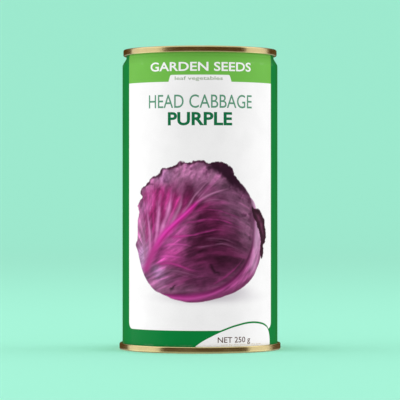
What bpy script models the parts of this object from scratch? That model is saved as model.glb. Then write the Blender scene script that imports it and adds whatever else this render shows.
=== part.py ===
"""Seed can: a welded tinplate body, two double-seamed ends and a ring-pull, with its fill of seed.

Metres, +Z up. The origin is the centre of the bottom seam's foot, and the front of the printed body faces -Y.
"""

import math

import bpy

# Driving dimensions. The can is a 300 x 509 size: 3 in across its bottom seam and 5 9/16 in high.
CAN_HEIGHT = 0.1413
BODY_RADIUS = 0.03665
NECK_RADIUS = 0.03480
NECK_DEPTH = 0.0043
SHOULDER_DEPTH = 0.0074
PLATE = 0.00022
GAP = 0.00026
SEGMENTS = 40

# Double seam. Depths are measured from the seam's outer edge into the can.
LAYER_PITCH = PLATE + GAP
SEAM_HEIGHT = 0.0031
SEAM_CORNER = 0.0005
COMPOUND_THICKNESS = 0.0003
COMPOUND_WIDTH = 0.0008
HOOK_TOP_DEPTH = PLATE + 2 * GAP + COMPOUND_THICKNESS + PLATE / 2
HOOK_BEND_DEPTH = HOOK_TOP_DEPTH + LAYER_PITCH
CURL_BEND_DEPTH = SEAM_HEIGHT - PLATE / 2 - LAYER_PITCH

# Ends.
COUNTERSINK_DEPTH = 0.0048
COUNTERSINK_RADIUS = 0.0006
CHUCK_WALL_TAPER = 0.0003
PANEL_DEPTH = 0.0036
PANEL_CORNER = 0.0004
BEAD_SLOPE = 0.0006
BEAD_HEIGHT = 0.00045
TOP_BEADS = ((0.0290, 0.0272),)
BOTTOM_BEADS = ((0.0275, 0.0245), (0.0205, 0.0175))

# Ring-pull, lying along Y with its nose to the back. Its hinge line runs through the rolled nose.
HINGE_Y = 0.0300
TAB_THICKNESS = 0.0010
TAB_EDGE = 0.00025
TAB_CLEARANCE = 0.0003
TAB_NOSE_HALF_WIDTH = 0.0075
TAB_HEEL_RADIUS = 0.0108
TAB_HEEL_Y = 0.0053
FINGER_HOLE_RADIUS = 0.0077
FINGER_HOLE_Y = 0.0050
SLOT_WIDTH = 0.0070
SLOT_FRONT_Y = 0.0286
SLOT_BACK_Y = 0.0205
TONGUE_THICKNESS = 0.0003
RIVET_Y = 0.0246
RIVET_STEM_RADIUS = 0.0015
RIVET_HEAD_RADIUS = 0.0023
RIVET_HEAD_THICKNESS = 0.0003

# Fill of seed.
SEED_TOP = 0.118
SEED_HEAP = 0.003

LID_TOP = CAN_HEIGHT - PANEL_DEPTH + PLATE / 2
TAB_BOTTOM = LID_TOP + TAB_CLEARANCE
HINGE_Z = TAB_BOTTOM + TAB_THICKNESS / 2

PRINTED_GREEN = (0.003, 0.20, 0.045)
GOLD_LACQUER = (0.72, 0.52, 0.22)
BARE_STEEL = (0.66, 0.66, 0.65)
COMPOUND_GREY = (0.35, 0.36, 0.36)
SEED_BROWN = (0.12, 0.055, 0.03)


def clear_scene():
    for old in list(bpy.data.objects):
        bpy.data.objects.remove(old)


def new_collection(name):
    made = bpy.data.collections.new(name)
    bpy.context.scene.collection.children.link(made)
    return made


def new_material(name, colour, metallic, roughness):
    made = bpy.data.materials.new(name)
    made.use_nodes = True
    shader = made.node_tree.nodes["Principled BSDF"]
    shader.inputs["Base Color"].default_value = (*colour, 1.0)
    shader.inputs["Metallic"].default_value = metallic
    shader.inputs["Roughness"].default_value = roughness
    made.diffuse_color = (*colour, 1.0)
    return made


def arc(centre, radius, start, end, steps):
    """Points round a centre in the (radius, depth) plane, angles in degrees."""
    angles = [math.radians(start + (end - start) * i / steps) for i in range(steps + 1)]
    return [(centre[0] + radius * math.cos(a), centre[1] + radius * math.sin(a)) for a in angles]


def bead(outer, inner, depth, height):
    """A pressed ring in the panel, from its outer radius to its inner one."""
    return [
        (outer, depth),
        (outer - BEAD_SLOPE, depth + height),
        (inner + BEAD_SLOPE, depth + height),
        (inner, depth),
    ]


def end_profile(wall_radius, beads, bead_height):
    """Middle line of a can end: its cover hook's tip, round the seam, down the chuck wall and in to the axis."""
    wall = wall_radius - PLATE / 2
    chuck = wall - LAYER_PITCH
    seam_wall = wall + 3 * LAYER_PITCH
    corner_depth = PLATE / 2 + SEAM_CORNER
    groove_depth = COUNTERSINK_DEPTH - PLATE / 2 - COUNTERSINK_RADIUS
    groove = (chuck - CHUCK_WALL_TAPER - COUNTERSINK_RADIUS, groove_depth)
    panel_edge = groove[0] - COUNTERSINK_RADIUS - PANEL_CORNER
    line = [(wall + LAYER_PITCH, HOOK_BEND_DEPTH)]
    line += arc((wall + 2 * LAYER_PITCH, CURL_BEND_DEPTH), LAYER_PITCH, 180, 0, 4)
    line += arc((seam_wall - SEAM_CORNER, corner_depth), SEAM_CORNER, 0, -90, 2)
    line += arc((chuck + SEAM_CORNER, corner_depth), SEAM_CORNER, -90, -180, 2)
    line += arc(groove, COUNTERSINK_RADIUS, 0, 180, 4)
    line += arc((panel_edge, PANEL_DEPTH + PANEL_CORNER), PANEL_CORNER, 0, -90, 2)
    for outer, inner in beads:
        line += bead(outer, inner, PANEL_DEPTH, bead_height)
    return line + [(0.0, PANEL_DEPTH)]


def body_hook(wall_radius):
    """Middle line of the body's flange inside a seam, from its tip to the wall."""
    wall = wall_radius - PLATE / 2
    tip = (wall + 2 * LAYER_PITCH, CURL_BEND_DEPTH)
    return [tip] + arc((wall + LAYER_PITCH, HOOK_BEND_DEPTH), LAYER_PITCH, 0, -180, 4)


def from_top(line):
    return [(radius, CAN_HEIGHT - depth) for radius, depth in line]


def body_profile():
    neck = [
        (NECK_RADIUS - PLATE / 2, NECK_DEPTH),
        (BODY_RADIUS - PLATE / 2, SHOULDER_DEPTH),
    ]
    return from_top(body_hook(NECK_RADIUS) + neck) + body_hook(BODY_RADIUS)[::-1]


def turned_object(name, line, collection, closed):
    """A profile in (radius, height), turned round Z."""
    mesh = bpy.data.meshes.new(name)
    edges = [(i, i + 1) for i in range(len(line) - 1)]
    if closed:
        edges.append((len(line) - 1, 0))
    mesh.from_pydata([(radius, 0.0, height) for radius, height in line], edges, [])
    made = bpy.data.objects.new(name, mesh)
    collection.objects.link(made)
    screw = made.modifiers.new("turn", "SCREW")
    screw.steps = screw.render_steps = SEGMENTS
    screw.use_merge_vertices = True
    screw.merge_threshold = 0.00001
    screw.use_smooth_shade = True
    return made


def turned_sheet(name, line, material, collection):
    """A turned sheet of plate: the profile is its middle line."""
    made = turned_object(name, line, collection, closed=False)
    wall = made.modifiers.new("plate", "SOLIDIFY")
    wall.thickness = PLATE
    wall.offset = 0.0
    wall.use_even_offset = True
    made.data.materials.append(material)
    return made


def turned_solid(name, line, material, collection):
    """A turned solid. Its outline starts at the axis, or runs round a ring."""
    at_axis = line[0][0] == 0.0
    made = turned_object(name, line, collection, closed=not at_axis)
    made.data.materials.append(material)
    return made


def rivet(collection):
    """The button pressed up from the lid, which holds the ring-pull's tongue."""
    stem_bottom = LID_TOP - PLATE / 2
    head_bottom = LID_TOP + GAP + TONGUE_THICKNESS + GAP
    head_top = head_bottom + RIVET_HEAD_THICKNESS
    outline = [
        (0.0, head_top),
        (RIVET_HEAD_RADIUS, head_top),
        (RIVET_HEAD_RADIUS, head_bottom),
        (RIVET_STEM_RADIUS, head_bottom),
        (RIVET_STEM_RADIUS, stem_bottom),
        (0.0, stem_bottom),
    ]
    made = turned_object("rivet", outline, collection, closed=False)
    made.modifiers["turn"].steps = made.modifiers["turn"].render_steps = 16
    made.location.y = RIVET_Y
    made.hide_render = True
    made.display_type = "WIRE"
    return made


def seam_compound(name, wall_radius, material, collection, top):
    """The lining ring between the end and the body hook."""
    middle = wall_radius - PLATE / 2 + LAYER_PITCH
    outer = middle + COMPOUND_WIDTH / 2
    inner = middle - COMPOUND_WIDTH / 2
    near = PLATE + GAP
    far = near + COMPOUND_THICKNESS
    line = [(outer, near), (outer, far), (inner, far), (inner, near)]
    if top:
        return turned_solid(name, from_top(line), material, collection)
    return turned_solid(name, line[::-1], material, collection)


def seed_fill(material, collection):
    """The seed, heaped a little in the middle, standing clear of the plate all round."""
    side = BODY_RADIUS - PLATE - GAP
    floor = PANEL_DEPTH + PLATE / 2 + BEAD_HEIGHT + GAP
    ridge = COUNTERSINK_DEPTH + GAP
    ridge_inner = side - 0.0055
    outline = [
        (0.0, SEED_TOP),
        (side * 0.5, SEED_TOP - SEED_HEAP * 0.25),
        (side, SEED_TOP - SEED_HEAP),
        (side, ridge),
        (ridge_inner, ridge),
        (ridge_inner - 0.001, floor),
        (0.0, floor),
    ]
    return turned_solid("seed_fill", outline, material, collection)


def circle_points(centre_y, radius, start, end, steps):
    """Points on a circle in the lid's plane, angles in degrees from +X."""
    angles = [math.radians(start + (end - start) * i / steps) for i in range(steps + 1)]
    return [(radius * math.cos(a), centre_y + radius * math.sin(a)) for a in angles]


def rounded_box(half_width, low, high, corner, steps):
    """A rounded rectangle in the lid's plane, centred on X."""
    points = []
    for side, end, start in ((1, 1, 0), (-1, 1, 90), (-1, -1, 180), (1, -1, 270)):
        centre_x = side * (half_width - corner)
        centre_y = high - corner if end > 0 else low + corner
        for i in range(steps + 1):
            angle = math.radians(start + 90 * i / steps)
            points.append((centre_x + corner * math.cos(angle), centre_y + corner * math.sin(angle)))
    return points


def tab_outline():
    """The ring-pull's edge: round at the finger end, narrower and nearly straight at the nose."""
    nose_y = HINGE_Y + TAB_THICKNESS / 2
    corner = 0.0032
    corner_x = TAB_NOSE_HALF_WIDTH - corner
    right, left = [], []
    for i in range(5):
        angle = math.radians(90 - 80 * i / 4)
        x = corner_x + corner * math.cos(angle)
        y = nose_y - corner + corner * math.sin(angle)
        right.append((x, y))
        left.append((-x, y))
    heel = circle_points(TAB_HEEL_Y, TAB_HEEL_RADIUS, 10, -190, 20)
    return right + heel + left[::-1]


def flat_plate(name, outlines, origin, thickness, edge, material, collection):
    """A plate in the lid's plane from its edge outline and its holes. The origin is in its middle layer."""
    curve = bpy.data.curves.new(name, "CURVE")
    curve.dimensions = "2D"
    curve.fill_mode = "BOTH"
    curve.extrude = thickness / 2
    for outline in outlines:
        spline = curve.splines.new("POLY")
        spline.points.add(len(outline) - 1)
        for point, (x, y) in zip(spline.points, outline):
            point.co = (x, y - origin[1], 0.0, 1.0)
        spline.use_cyclic_u = True
    made = bpy.data.objects.new(name, curve)
    made.location = origin
    collection.objects.link(made)
    weld = made.modifiers.new("weld", "WELD")
    weld.merge_threshold = 0.00001
    if edge:
        rounding = made.modifiers.new("edge", "BEVEL")
        rounding.width = edge
        rounding.segments = 2
        rounding.limit_method = "ANGLE"
        rounding.angle_limit = math.radians(50)
    curve.materials.append(material)
    return made


def ring_pull(material, collection):
    """The part of the pull that lifts. Its origin is on the hinge line."""
    finger_hole = circle_points(FINGER_HOLE_Y, FINGER_HOLE_RADIUS, 0, 345, 23)
    slot = rounded_box(SLOT_WIDTH / 2, SLOT_BACK_Y, SLOT_FRONT_Y, 0.0015, 3)
    outlines = (tab_outline(), finger_hole, slot)
    hinge = (0.0, HINGE_Y, HINGE_Z)
    return flat_plate("ring_pull", outlines, hinge, TAB_THICKNESS, TAB_EDGE, material, collection)


def tab_tongue(material, collection):
    """The part of the pull that the rivet holds down on the lid."""
    edge = rounded_box(
        SLOT_WIDTH / 2 - TAB_CLEARANCE,
        SLOT_BACK_Y + TAB_CLEARANCE,
        SLOT_FRONT_Y - TAB_CLEARANCE,
        0.0012,
        3,
    )
    hole = circle_points(RIVET_Y, RIVET_STEM_RADIUS + GAP, 0, 337.5, 15)
    middle = (0.0, RIVET_Y, LID_TOP + GAP + TONGUE_THICKNESS / 2)
    return flat_plate("tab_tongue", (edge, hole), middle, TONGUE_THICKNESS, 0.0, material, collection)


def top_end(material, collection, helpers):
    """The easy-open lid, with its rivet joined on."""
    made = turned_sheet(
        "top_end", from_top(end_profile(NECK_RADIUS, TOP_BEADS, BEAD_HEIGHT)), material, collection
    )
    joined = made.modifiers.new("rivet", "BOOLEAN")
    joined.operation = "UNION"
    joined.solver = "EXACT"
    joined.object = rivet(helpers)
    return made


def main():
    clear_scene()
    parts = new_collection("seed_can")
    helpers = new_collection("helpers")
    printed = new_material("printed_tinplate", PRINTED_GREEN, 0.3, 0.35)
    gold = new_material("gold_lacquer", GOLD_LACQUER, 0.9, 0.3)
    steel = new_material("tab_steel", BARE_STEEL, 0.9, 0.35)
    compound = new_material("seam_compound", COMPOUND_GREY, 0.0, 0.8)
    seed = new_material("seed", SEED_BROWN, 0.0, 0.7)

    turned_sheet("can_body", body_profile(), printed, parts)
    top_end(gold, parts, helpers)
    turned_sheet("bottom_end", end_profile(BODY_RADIUS, BOTTOM_BEADS, BEAD_HEIGHT), gold, parts)
    seam_compound("top_seam_compound", NECK_RADIUS, compound, parts, top=True)
    seam_compound("bottom_seam_compound", BODY_RADIUS, compound, parts, top=False)
    seed_fill(seed, parts)
    ring_pull(steel, parts)
    tab_tongue(steel, parts)


main()
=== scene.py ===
"""Looks of the seed can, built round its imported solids.

Metres, +Z up, the printed front at -Y. Print positions are in millimetres on the unrolled label: how far
round from the front's middle, positive to the right, and how high above the foot.
"""

import math

import bmesh
import bpy
import numpy as np
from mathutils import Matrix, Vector
from mathutils.geometry import delaunay_2d_cdt


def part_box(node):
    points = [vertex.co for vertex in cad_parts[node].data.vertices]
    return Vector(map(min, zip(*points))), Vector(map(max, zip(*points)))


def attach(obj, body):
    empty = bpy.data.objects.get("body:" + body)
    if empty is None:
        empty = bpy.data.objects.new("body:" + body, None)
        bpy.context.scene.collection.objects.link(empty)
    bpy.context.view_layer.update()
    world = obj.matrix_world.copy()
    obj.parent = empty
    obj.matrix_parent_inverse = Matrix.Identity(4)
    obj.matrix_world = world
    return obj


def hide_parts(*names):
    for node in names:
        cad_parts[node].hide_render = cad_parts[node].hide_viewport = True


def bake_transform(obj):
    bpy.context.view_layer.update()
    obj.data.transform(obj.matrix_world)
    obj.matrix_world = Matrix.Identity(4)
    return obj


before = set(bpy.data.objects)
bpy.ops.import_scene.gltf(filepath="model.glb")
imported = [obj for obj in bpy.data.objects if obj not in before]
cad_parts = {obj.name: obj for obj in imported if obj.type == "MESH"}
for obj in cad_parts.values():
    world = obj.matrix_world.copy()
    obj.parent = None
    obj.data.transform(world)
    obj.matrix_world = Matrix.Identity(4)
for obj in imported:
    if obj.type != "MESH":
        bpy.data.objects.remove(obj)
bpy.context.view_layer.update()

MM = 0.001
CAN_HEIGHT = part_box("top_end")[1].z
CAN_BODY = "can"
PULL_BODY = "pull"

# Body and seams, as in the solids.
BODY_RADIUS = 0.03665
NECK_RADIUS = 0.03480
NECK_DEPTH = 0.0043
SHOULDER_DEPTH = 0.0074
PLATE = 0.00022
LAYER_PITCH = 0.00048
SEAM_HEIGHT = 0.0031
HOOK_TOP_DEPTH = 0.00115
HOOK_BEND_DEPTH = HOOK_TOP_DEPTH + LAYER_PITCH
CURL_BOTTOM_DEPTH = SEAM_HEIGHT - PLATE / 2
COUNTERSINK_DEPTH = 0.0048
CHUCK_WALL_TAPER = 0.0003
COUNTERSINK_RADIUS = 0.0006
PANEL_DEPTH = 0.0036
BEAD_DEPTH = 0.00045
BEAD_SLOPE = 0.0006
LID_BEADS = ((0.0290, 0.0272),)
BASE_BEADS = ((0.0275, 0.0245), (0.0205, 0.0175))
# How much tighter a bend is than the pitch of the seam's layers, so that a straight stays between two bends.
BEND_SLACK = 0.00001
TURN_STEPS = 256

# Score line that the lid tears along.
SCORE_RADIUS = 0.0314
SCORE_HALF_WIDTH = 0.00016
SCORE_DEPTH = 0.00009

# Ring-pull.
LID_TOP = CAN_HEIGHT - PANEL_DEPTH + PLATE / 2
TAB_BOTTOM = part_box("ring_pull")[0].z
TAB_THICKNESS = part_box("ring_pull")[1].z - TAB_BOTTOM
TAB_NOSE_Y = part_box("ring_pull")[1].y
TAB_HEEL_RADIUS = 0.0108
TAB_HEEL_Y = 0.0053
FINGER_HOLE_RADIUS = 0.0077
FINGER_HOLE_Y = 0.0050
SLOT_HALF_WIDTH = 0.0035
SLOT_FRONT_Y = 0.0286
SLOT_BACK_Y = 0.0205
SLOT_CORNER = 0.0013
RIVET_Y = 0.0246
RIVET_HEAD_RADIUS = 0.0023
RIVET_SHANK_RADIUS = 0.0014

# Label, in millimetres.
LABEL_RADIUS = BODY_RADIUS / MM
BACK = math.pi * LABEL_RADIUS
PANEL_HALF_WIDTH = 41.2
PANEL_LOW = 10.45
PANEL_CORNER = 3.2
ABOVE_PRINT = 160.0
# How much wider the front panel gets for each millimetre of necking, so that its sides look upright.
NECK_SPREAD = 2.54
HEADER_LOW = 124.7
TAG_HALF_WIDTH = 14.0
TAG_HIGH = 127.9
TAG_SLANT = 0.30
HILL_SIDES = (-3.3, 40.0)
HILL_FOOT = 2.05
HILL_RISE = 11.4
# How far below the hill's top its dark rim and then its white set in, each over a soft edge.
HILL_RIM = ((-0.95, -0.80), (-0.10, 0.05))
BARE_STRIP_HALF_WIDTH = 3.2
SHOULDER_HEIGHT = 133.6
FOOT_BEND_HEIGHT = 3.4
SIDE_PANEL_MIDDLE = BACK * 0.70
SIDE_PANEL_HALF_WIDTH = 21.0
SIDE_PANEL_LOW = 22.0
SIDE_PANEL_HIGH = 118.0
SIDE_HEAD_LOW = 106.0
SIDE_PANEL_CORNER = 2.4
WRITING_BOX = (34.0, 10.0)
WRITING_FOOT = 34.0
CALENDAR_CELL = (6.2, 9.0)
CALENDAR_LEFT = SIDE_PANEL_MIDDLE - 3 * CALENDAR_CELL[0]
CALENDAR_FOOT = 78.0
# Rows of the calendar with a bar for the sowing season, and the bar's middle, in cells.
SOWING_BARS = ((1, 3.5), (0, 2.5))
SOWING_BAR_ENDS = (0.9, 2.6)
MONTH_WIDTH = 1.4
ODD_MONTH_WIDTHS = {1: 0.55, 10: 2.5, 11: 1.7, 12: 2.5}
MONTH_RISE = 4.6
MONTH_HEIGHT = 2.4
INK_LIFT = 0.016
INK_DEPTH = 0.05


def linear_light(display):
    """Display colours, 0 to 1, as the linear ones that shaders take."""
    return np.where(display <= 0.04045, display / 12.92, ((display + 0.055) / 1.055) ** 2.4)


def linear(red, green, blue):
    """A display colour, 0 to 255, as a linear one."""
    return linear_light(np.array((red, green, blue)) / 255.0)


PAPER = 0.97
WHITE_INK = linear(*[PAPER * 255] * 3)
DARK_GREEN_INK = np.array((0.0010, 0.215, 0.042))
LIGHT_GREEN_INK = np.array((0.165, 0.500, 0.072))
TITLE_GREEN_INK = np.array((0.006, 0.160, 0.058))
LIGHT_TITLE_INK = linear(92, 152, 122)
GREY_INK = linear(150, 172, 140)
BROWN_INK = linear(92, 66, 58)
PALE_INK = linear(214, 202, 176)
WRITE_LINE_INK = linear(140, 150, 142)
GOLD_LACQUER = np.array((0.76, 0.64, 0.32))
TINPLATE = np.array((0.74, 0.74, 0.72))
VARNISH = {"IOR": 1.2, "Specular IOR Level": 0.22, "Coat Weight": 0.05, "Coat Roughness": 0.15}
VARNISH_ROUGHNESS = 0.36
VARNISH_RELIEF = 0.000012


# ------------------------------------------------------------------- objects

def placed(name, data):
    """A new object in the scene, holding that data."""
    made = bpy.data.objects.new(name, data)
    bpy.context.scene.collection.objects.link(made)
    return made


def shown_mesh(holder):
    """A plain copy of the mesh that an object shows."""
    bpy.context.view_layer.update()
    graph = bpy.context.evaluated_depsgraph_get()
    return bpy.data.meshes.new_from_object(holder.evaluated_get(graph))


def drop_loose(shell):
    """Deletes the points that no face uses."""
    bmesh.ops.delete(shell, geom=[vert for vert in shell.verts if not vert.link_faces], context="VERTS")


def face_outwards(mesh):
    """Turns the faces of a closed mesh outwards."""
    shell = bmesh.new()
    shell.from_mesh(mesh)
    bmesh.ops.dissolve_degenerate(shell, edges=shell.edges, dist=1e-8)
    bmesh.ops.recalc_face_normals(shell, faces=shell.faces)
    shell.to_mesh(mesh)
    shell.free()


def soften(mesh, angle):
    """Smooth shading, with edges sharper than that many degrees left crisp."""
    mesh.shade_smooth()
    mesh.set_sharp_from_angle(angle=math.radians(angle))


# ---------------------------------------------------------------- node trees

def place(tree, kind, feeds=None, **settings):
    """Adds a node, with its properties set and its inputs linked or set."""
    made = tree.nodes.new(kind)
    for name, value in settings.items():
        setattr(made, name, value)
    for socket, value in (feeds or {}).items():
        if isinstance(value, bpy.types.NodeSocket):
            tree.links.new(value, made.inputs[socket])
        else:
            made.inputs[socket].default_value = value
    made.location = (200 * (len(tree.nodes) % 14), -240 * (len(tree.nodes) // 14))
    return made


def result(tree, kind, feeds=None, **settings):
    """Adds a node, and gives its first output."""
    return place(tree, kind, feeds, **settings).outputs[0]


def calc(tree, operation, *values, clamp=False):
    """Arithmetic on values."""
    return result(tree, "ShaderNodeMath", dict(enumerate(values)), operation=operation, use_clamp=clamp)


def ramp(tree, value, low, high, start=0.0, end=1.0):
    """A value eased from start to end as it goes from low to high."""
    feeds = {"Value": value, "From Min": low, "From Max": high, "To Min": start, "To Max": end}
    return place(tree, "ShaderNodeMapRange", feeds, interpolation_type="SMOOTHSTEP").outputs["Result"]


def mixed(tree, mask, under, over):
    """One colour over another, by a mask."""
    feeds = {0: mask}
    for index, colour in ((6, under), (7, over)):
        feeds[index] = colour if isinstance(colour, bpy.types.NodeSocket) else (*colour, 1.0)
    return place(tree, "ShaderNodeMix", feeds, data_type="RGBA", clamp_factor=True).outputs[2]


def mottle(tree, position, scale, detail=3.0, squeeze=(1.0, 1.0, 1.0)):
    """Cloudy noise from 0 to 1 on a stretched position."""
    stretched = result(tree, "ShaderNodeMapping", {"Vector": position, "Scale": squeeze})
    return result(tree, "ShaderNodeTexNoise", {"Vector": stretched, "Scale": scale, "Detail": detail})


def new_group(kind, name, inputs, outputs):
    """An empty node group with named sockets. Inputs are (name, socket type, starting value)."""
    tree = bpy.data.node_groups.new(name, kind)
    for label, socket, start in inputs:
        made = tree.interface.new_socket(label, in_out="INPUT", socket_type=socket)
        if start is not None:
            made.default_value = start
    for label, socket in outputs:
        tree.interface.new_socket(label, in_out="OUTPUT", socket_type=socket)
    return tree, place(tree, "NodeGroupInput").outputs


def labelled(values):
    """Keyword arguments, by the labels of the sockets that they stand for."""
    return {label.replace("_", " "): value for label, value in values.items()}


def close_group(tree, **results):
    """Feeds the group's outputs."""
    place(tree, "NodeGroupOutput", labelled(results))
    return tree


FLOAT, VECTOR = "NodeSocketFloat", "NodeSocketVector"


def make_can_wrap():
    """Turns a place on the can into one on the unrolled label, and its distance from the axis, in mm."""
    tree, given = new_group(
        "ShaderNodeTree", "can_wrap", [("Position", VECTOR, None)],
        [("Around", FLOAT), ("Height", FLOAT), ("From Axis", FLOAT)],
    )
    split = place(tree, "ShaderNodeSeparateXYZ", {0: given["Position"]}).outputs
    ahead = calc(tree, "MULTIPLY", split["Y"], -1.0)
    angle = calc(tree, "ARCTAN2", split["X"], ahead)
    square = calc(tree, "ADD", calc(tree, "POWER", split["X"], 2.0), calc(tree, "POWER", split["Y"], 2.0))
    return close_group(
        tree,
        Around=calc(tree, "MULTIPLY", angle, LABEL_RADIUS),
        Height=calc(tree, "MULTIPLY", split["Z"], 1 / MM),
        From_Axis=calc(tree, "MULTIPLY", calc(tree, "SQRT", square), 1 / MM),
    )


def make_printed_box():
    """Mask of a printed box with round corners on the unrolled label."""
    tree, given = new_group(
        "ShaderNodeTree", "printed_box",
        [("Around", FLOAT, 0.0), ("Height", FLOAT, 0.0), ("Middle", FLOAT, 0.0), ("Low", FLOAT, 0.0),
         ("High", FLOAT, 10.0), ("Half Width", FLOAT, 10.0), ("Corner", FLOAT, 1.0), ("Edge", FLOAT, 0.06)],
        [("Mask", FLOAT)],
    )
    centre = calc(tree, "MULTIPLY", calc(tree, "ADD", given["Low"], given["High"]), 0.5)
    half_height = calc(tree, "MULTIPLY", calc(tree, "SUBTRACT", given["High"], given["Low"]), 0.5)
    gaps = []
    for spot, middle, half in (
        (given["Around"], given["Middle"], given["Half Width"]), (given["Height"], centre, half_height)
    ):
        off = calc(tree, "ABSOLUTE", calc(tree, "SUBTRACT", spot, middle))
        gaps.append(calc(tree, "SUBTRACT", off, calc(tree, "SUBTRACT", half, given["Corner"])))
    outside = [calc(tree, "POWER", calc(tree, "MAXIMUM", gap, 0.0), 2.0) for gap in gaps]
    reach = calc(tree, "SQRT", calc(tree, "ADD", *outside))
    within = calc(tree, "MINIMUM", calc(tree, "MAXIMUM", *gaps), 0.0)
    inset = calc(tree, "SUBTRACT", given["Corner"], calc(tree, "ADD", reach, within))
    low_edge = calc(tree, "MULTIPLY", given["Edge"], -1.0)
    return close_group(tree, Mask=ramp(tree, inset, low_edge, given["Edge"]))


def make_ruled_grid():
    """Mask of thin ruled lines: a grid of cells, up and right from its lower left corner."""
    tree, given = new_group(
        "ShaderNodeTree", "ruled_grid",
        [("Around", FLOAT, 0.0), ("Height", FLOAT, 0.0), ("Left", FLOAT, 0.0), ("Foot", FLOAT, 0.0),
         ("Cell Width", FLOAT, 6.0), ("Cell Height", FLOAT, 8.0), ("Columns", FLOAT, 6.0),
         ("Rows", FLOAT, 2.0), ("Line", FLOAT, 0.12)],
        [("Mask", FLOAT)],
    )
    lines, within = [], []
    for spot, start, cell, count in (
        (given["Around"], given["Left"], given["Cell Width"], given["Columns"]),
        (given["Height"], given["Foot"], given["Cell Height"], given["Rows"]),
    ):
        run = calc(tree, "DIVIDE", calc(tree, "SUBTRACT", spot, start), cell)
        to_line = calc(tree, "MULTIPLY", calc(tree, "PINGPONG", run, 0.5), cell)
        middle = calc(tree, "MULTIPLY", count, 0.5)
        off = calc(tree, "ABSOLUTE", calc(tree, "SUBTRACT", run, middle))
        past = calc(tree, "MULTIPLY", calc(tree, "SUBTRACT", off, middle), cell)
        lines.append(to_line)
        within.append(calc(tree, "LESS_THAN", past, given["Line"]))
    nearest_line = calc(tree, "MINIMUM", *lines)
    drawn = calc(tree, "LESS_THAN", nearest_line, given["Line"])
    return close_group(tree, Mask=calc(tree, "MULTIPLY", drawn, calc(tree, "MULTIPLY", *within)))


def make_litho_finish():
    """Ink and varnish on tinplate: faint density changes, orange peel, and rubbing."""
    tree, given = new_group(
        "ShaderNodeTree", "litho_finish", [("Position", VECTOR, None), ("Rubbing", FLOAT, 0.3)],
        [("Shade", FLOAT), ("Roughness Change", FLOAT), ("Relief", FLOAT)],
    )
    density = mottle(tree, given["Position"], 90.0, 4.0)
    screen = mottle(tree, given["Position"], 2600.0, 1.0)
    peel = mottle(tree, given["Position"], 700.0, 2.0)
    wave = mottle(tree, given["Position"], 60.0, 2.0, (1.0, 1.0, 0.35))
    scuff = mottle(tree, given["Position"], 420.0, 6.0, (1.0, 1.0, 0.12))
    rubbed = calc(tree, "MULTIPLY", ramp(tree, scuff, 0.62, 0.80), given["Rubbing"])
    clouds = ramp(tree, density, 0.3, 0.7, 0.975, 1.012)
    dots = ramp(tree, screen, 0.3, 0.7, -0.012, 0.012)
    relief = calc(tree, "ADD", calc(tree, "MULTIPLY", peel, 0.25), wave)
    gloss_change = ramp(tree, density, 0.3, 0.7, -0.03, 0.03)
    rough = calc(tree, "ADD", gloss_change, calc(tree, "MULTIPLY", rubbed, 0.22))
    return close_group(tree, Shade=calc(tree, "ADD", clouds, dots), Roughness_Change=rough, Relief=relief)


def make_rolled_grain():
    """Rolled plate: fine lines along one direction, with faint smears of lacquer."""
    tree, given = new_group(
        "ShaderNodeTree", "rolled_grain", [("Position", VECTOR, None), ("Strength", FLOAT, 1.0)],
        [("Shade", FLOAT), ("Roughness Change", FLOAT), ("Relief", FLOAT)],
    )
    lines = mottle(tree, given["Position"], 3800.0, 3.0, (0.03, 1.0, 0.25))
    smears = mottle(tree, given["Position"], 130.0, 4.0, (0.5, 1.0, 1.0))
    spots = mottle(tree, given["Position"], 900.0, 2.0)
    swing = calc(tree, "MULTIPLY", calc(tree, "SUBTRACT", lines, 0.5), given["Strength"])
    smeared = ramp(tree, smears, 0.3, 0.7, 0.94, 1.04)
    shade = calc(tree, "ADD", smeared, calc(tree, "MULTIPLY", swing, 0.16))
    gloss_change = ramp(tree, smears, 0.35, 0.75, -0.03, 0.06)
    rough = calc(tree, "ADD", gloss_change, calc(tree, "MULTIPLY", spots, 0.05))
    return close_group(tree, Shade=shade, Roughness_Change=rough, Relief=swing)


def make_edge_wear():
    """Where lacquer is rubbed off a proud edge: patches within a band of heights."""
    tree, given = new_group(
        "ShaderNodeTree", "edge_wear",
        [("Position", VECTOR, None), ("Height", FLOAT, 0.0), ("Edge Height", FLOAT, 0.0),
         ("Reach", FLOAT, 0.4)],
        [("Mask", FLOAT)],
    )
    off = calc(tree, "ABSOLUTE", calc(tree, "SUBTRACT", given["Height"], given["Edge Height"]))
    near = ramp(tree, calc(tree, "DIVIDE", off, given["Reach"]), 1.0, 0.2)
    patches = ramp(tree, mottle(tree, given["Position"], 240.0, 5.0), 0.50, 0.66)
    return close_group(tree, Mask=calc(tree, "MULTIPLY", near, patches))


GROUPS = {
    "can_wrap": make_can_wrap(),
    "printed_box": make_printed_box(),
    "ruled_grid": make_ruled_grid(),
    "litho_finish": make_litho_finish(),
    "rolled_grain": make_rolled_grain(),
    "edge_wear": make_edge_wear(),
}


def grouped(tree, name, **feeds):
    """Places a node group and returns its outputs."""
    return place(tree, "ShaderNodeGroup", labelled(feeds), node_tree=GROUPS[name]).outputs


def new_material(name, **sockets):
    """A material with one Principled shader, and Object coordinates to paint by."""
    made = bpy.data.materials.new(name)
    made.use_nodes = True
    tree = made.node_tree
    tree.nodes.clear()
    shader = place(tree, "ShaderNodeBsdfPrincipled", labelled(sockets))
    place(tree, "ShaderNodeOutputMaterial", {"Surface": shader.outputs[0]})
    where = place(tree, "ShaderNodeTexCoord").outputs["Object"]
    return made, tree, shader, where


def shaded(tree, colour, shade):
    """A colour made lighter or darker by a value."""
    return result(tree, "ShaderNodeVectorMath", {0: colour, 1: shade}, operation="MULTIPLY")


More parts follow.
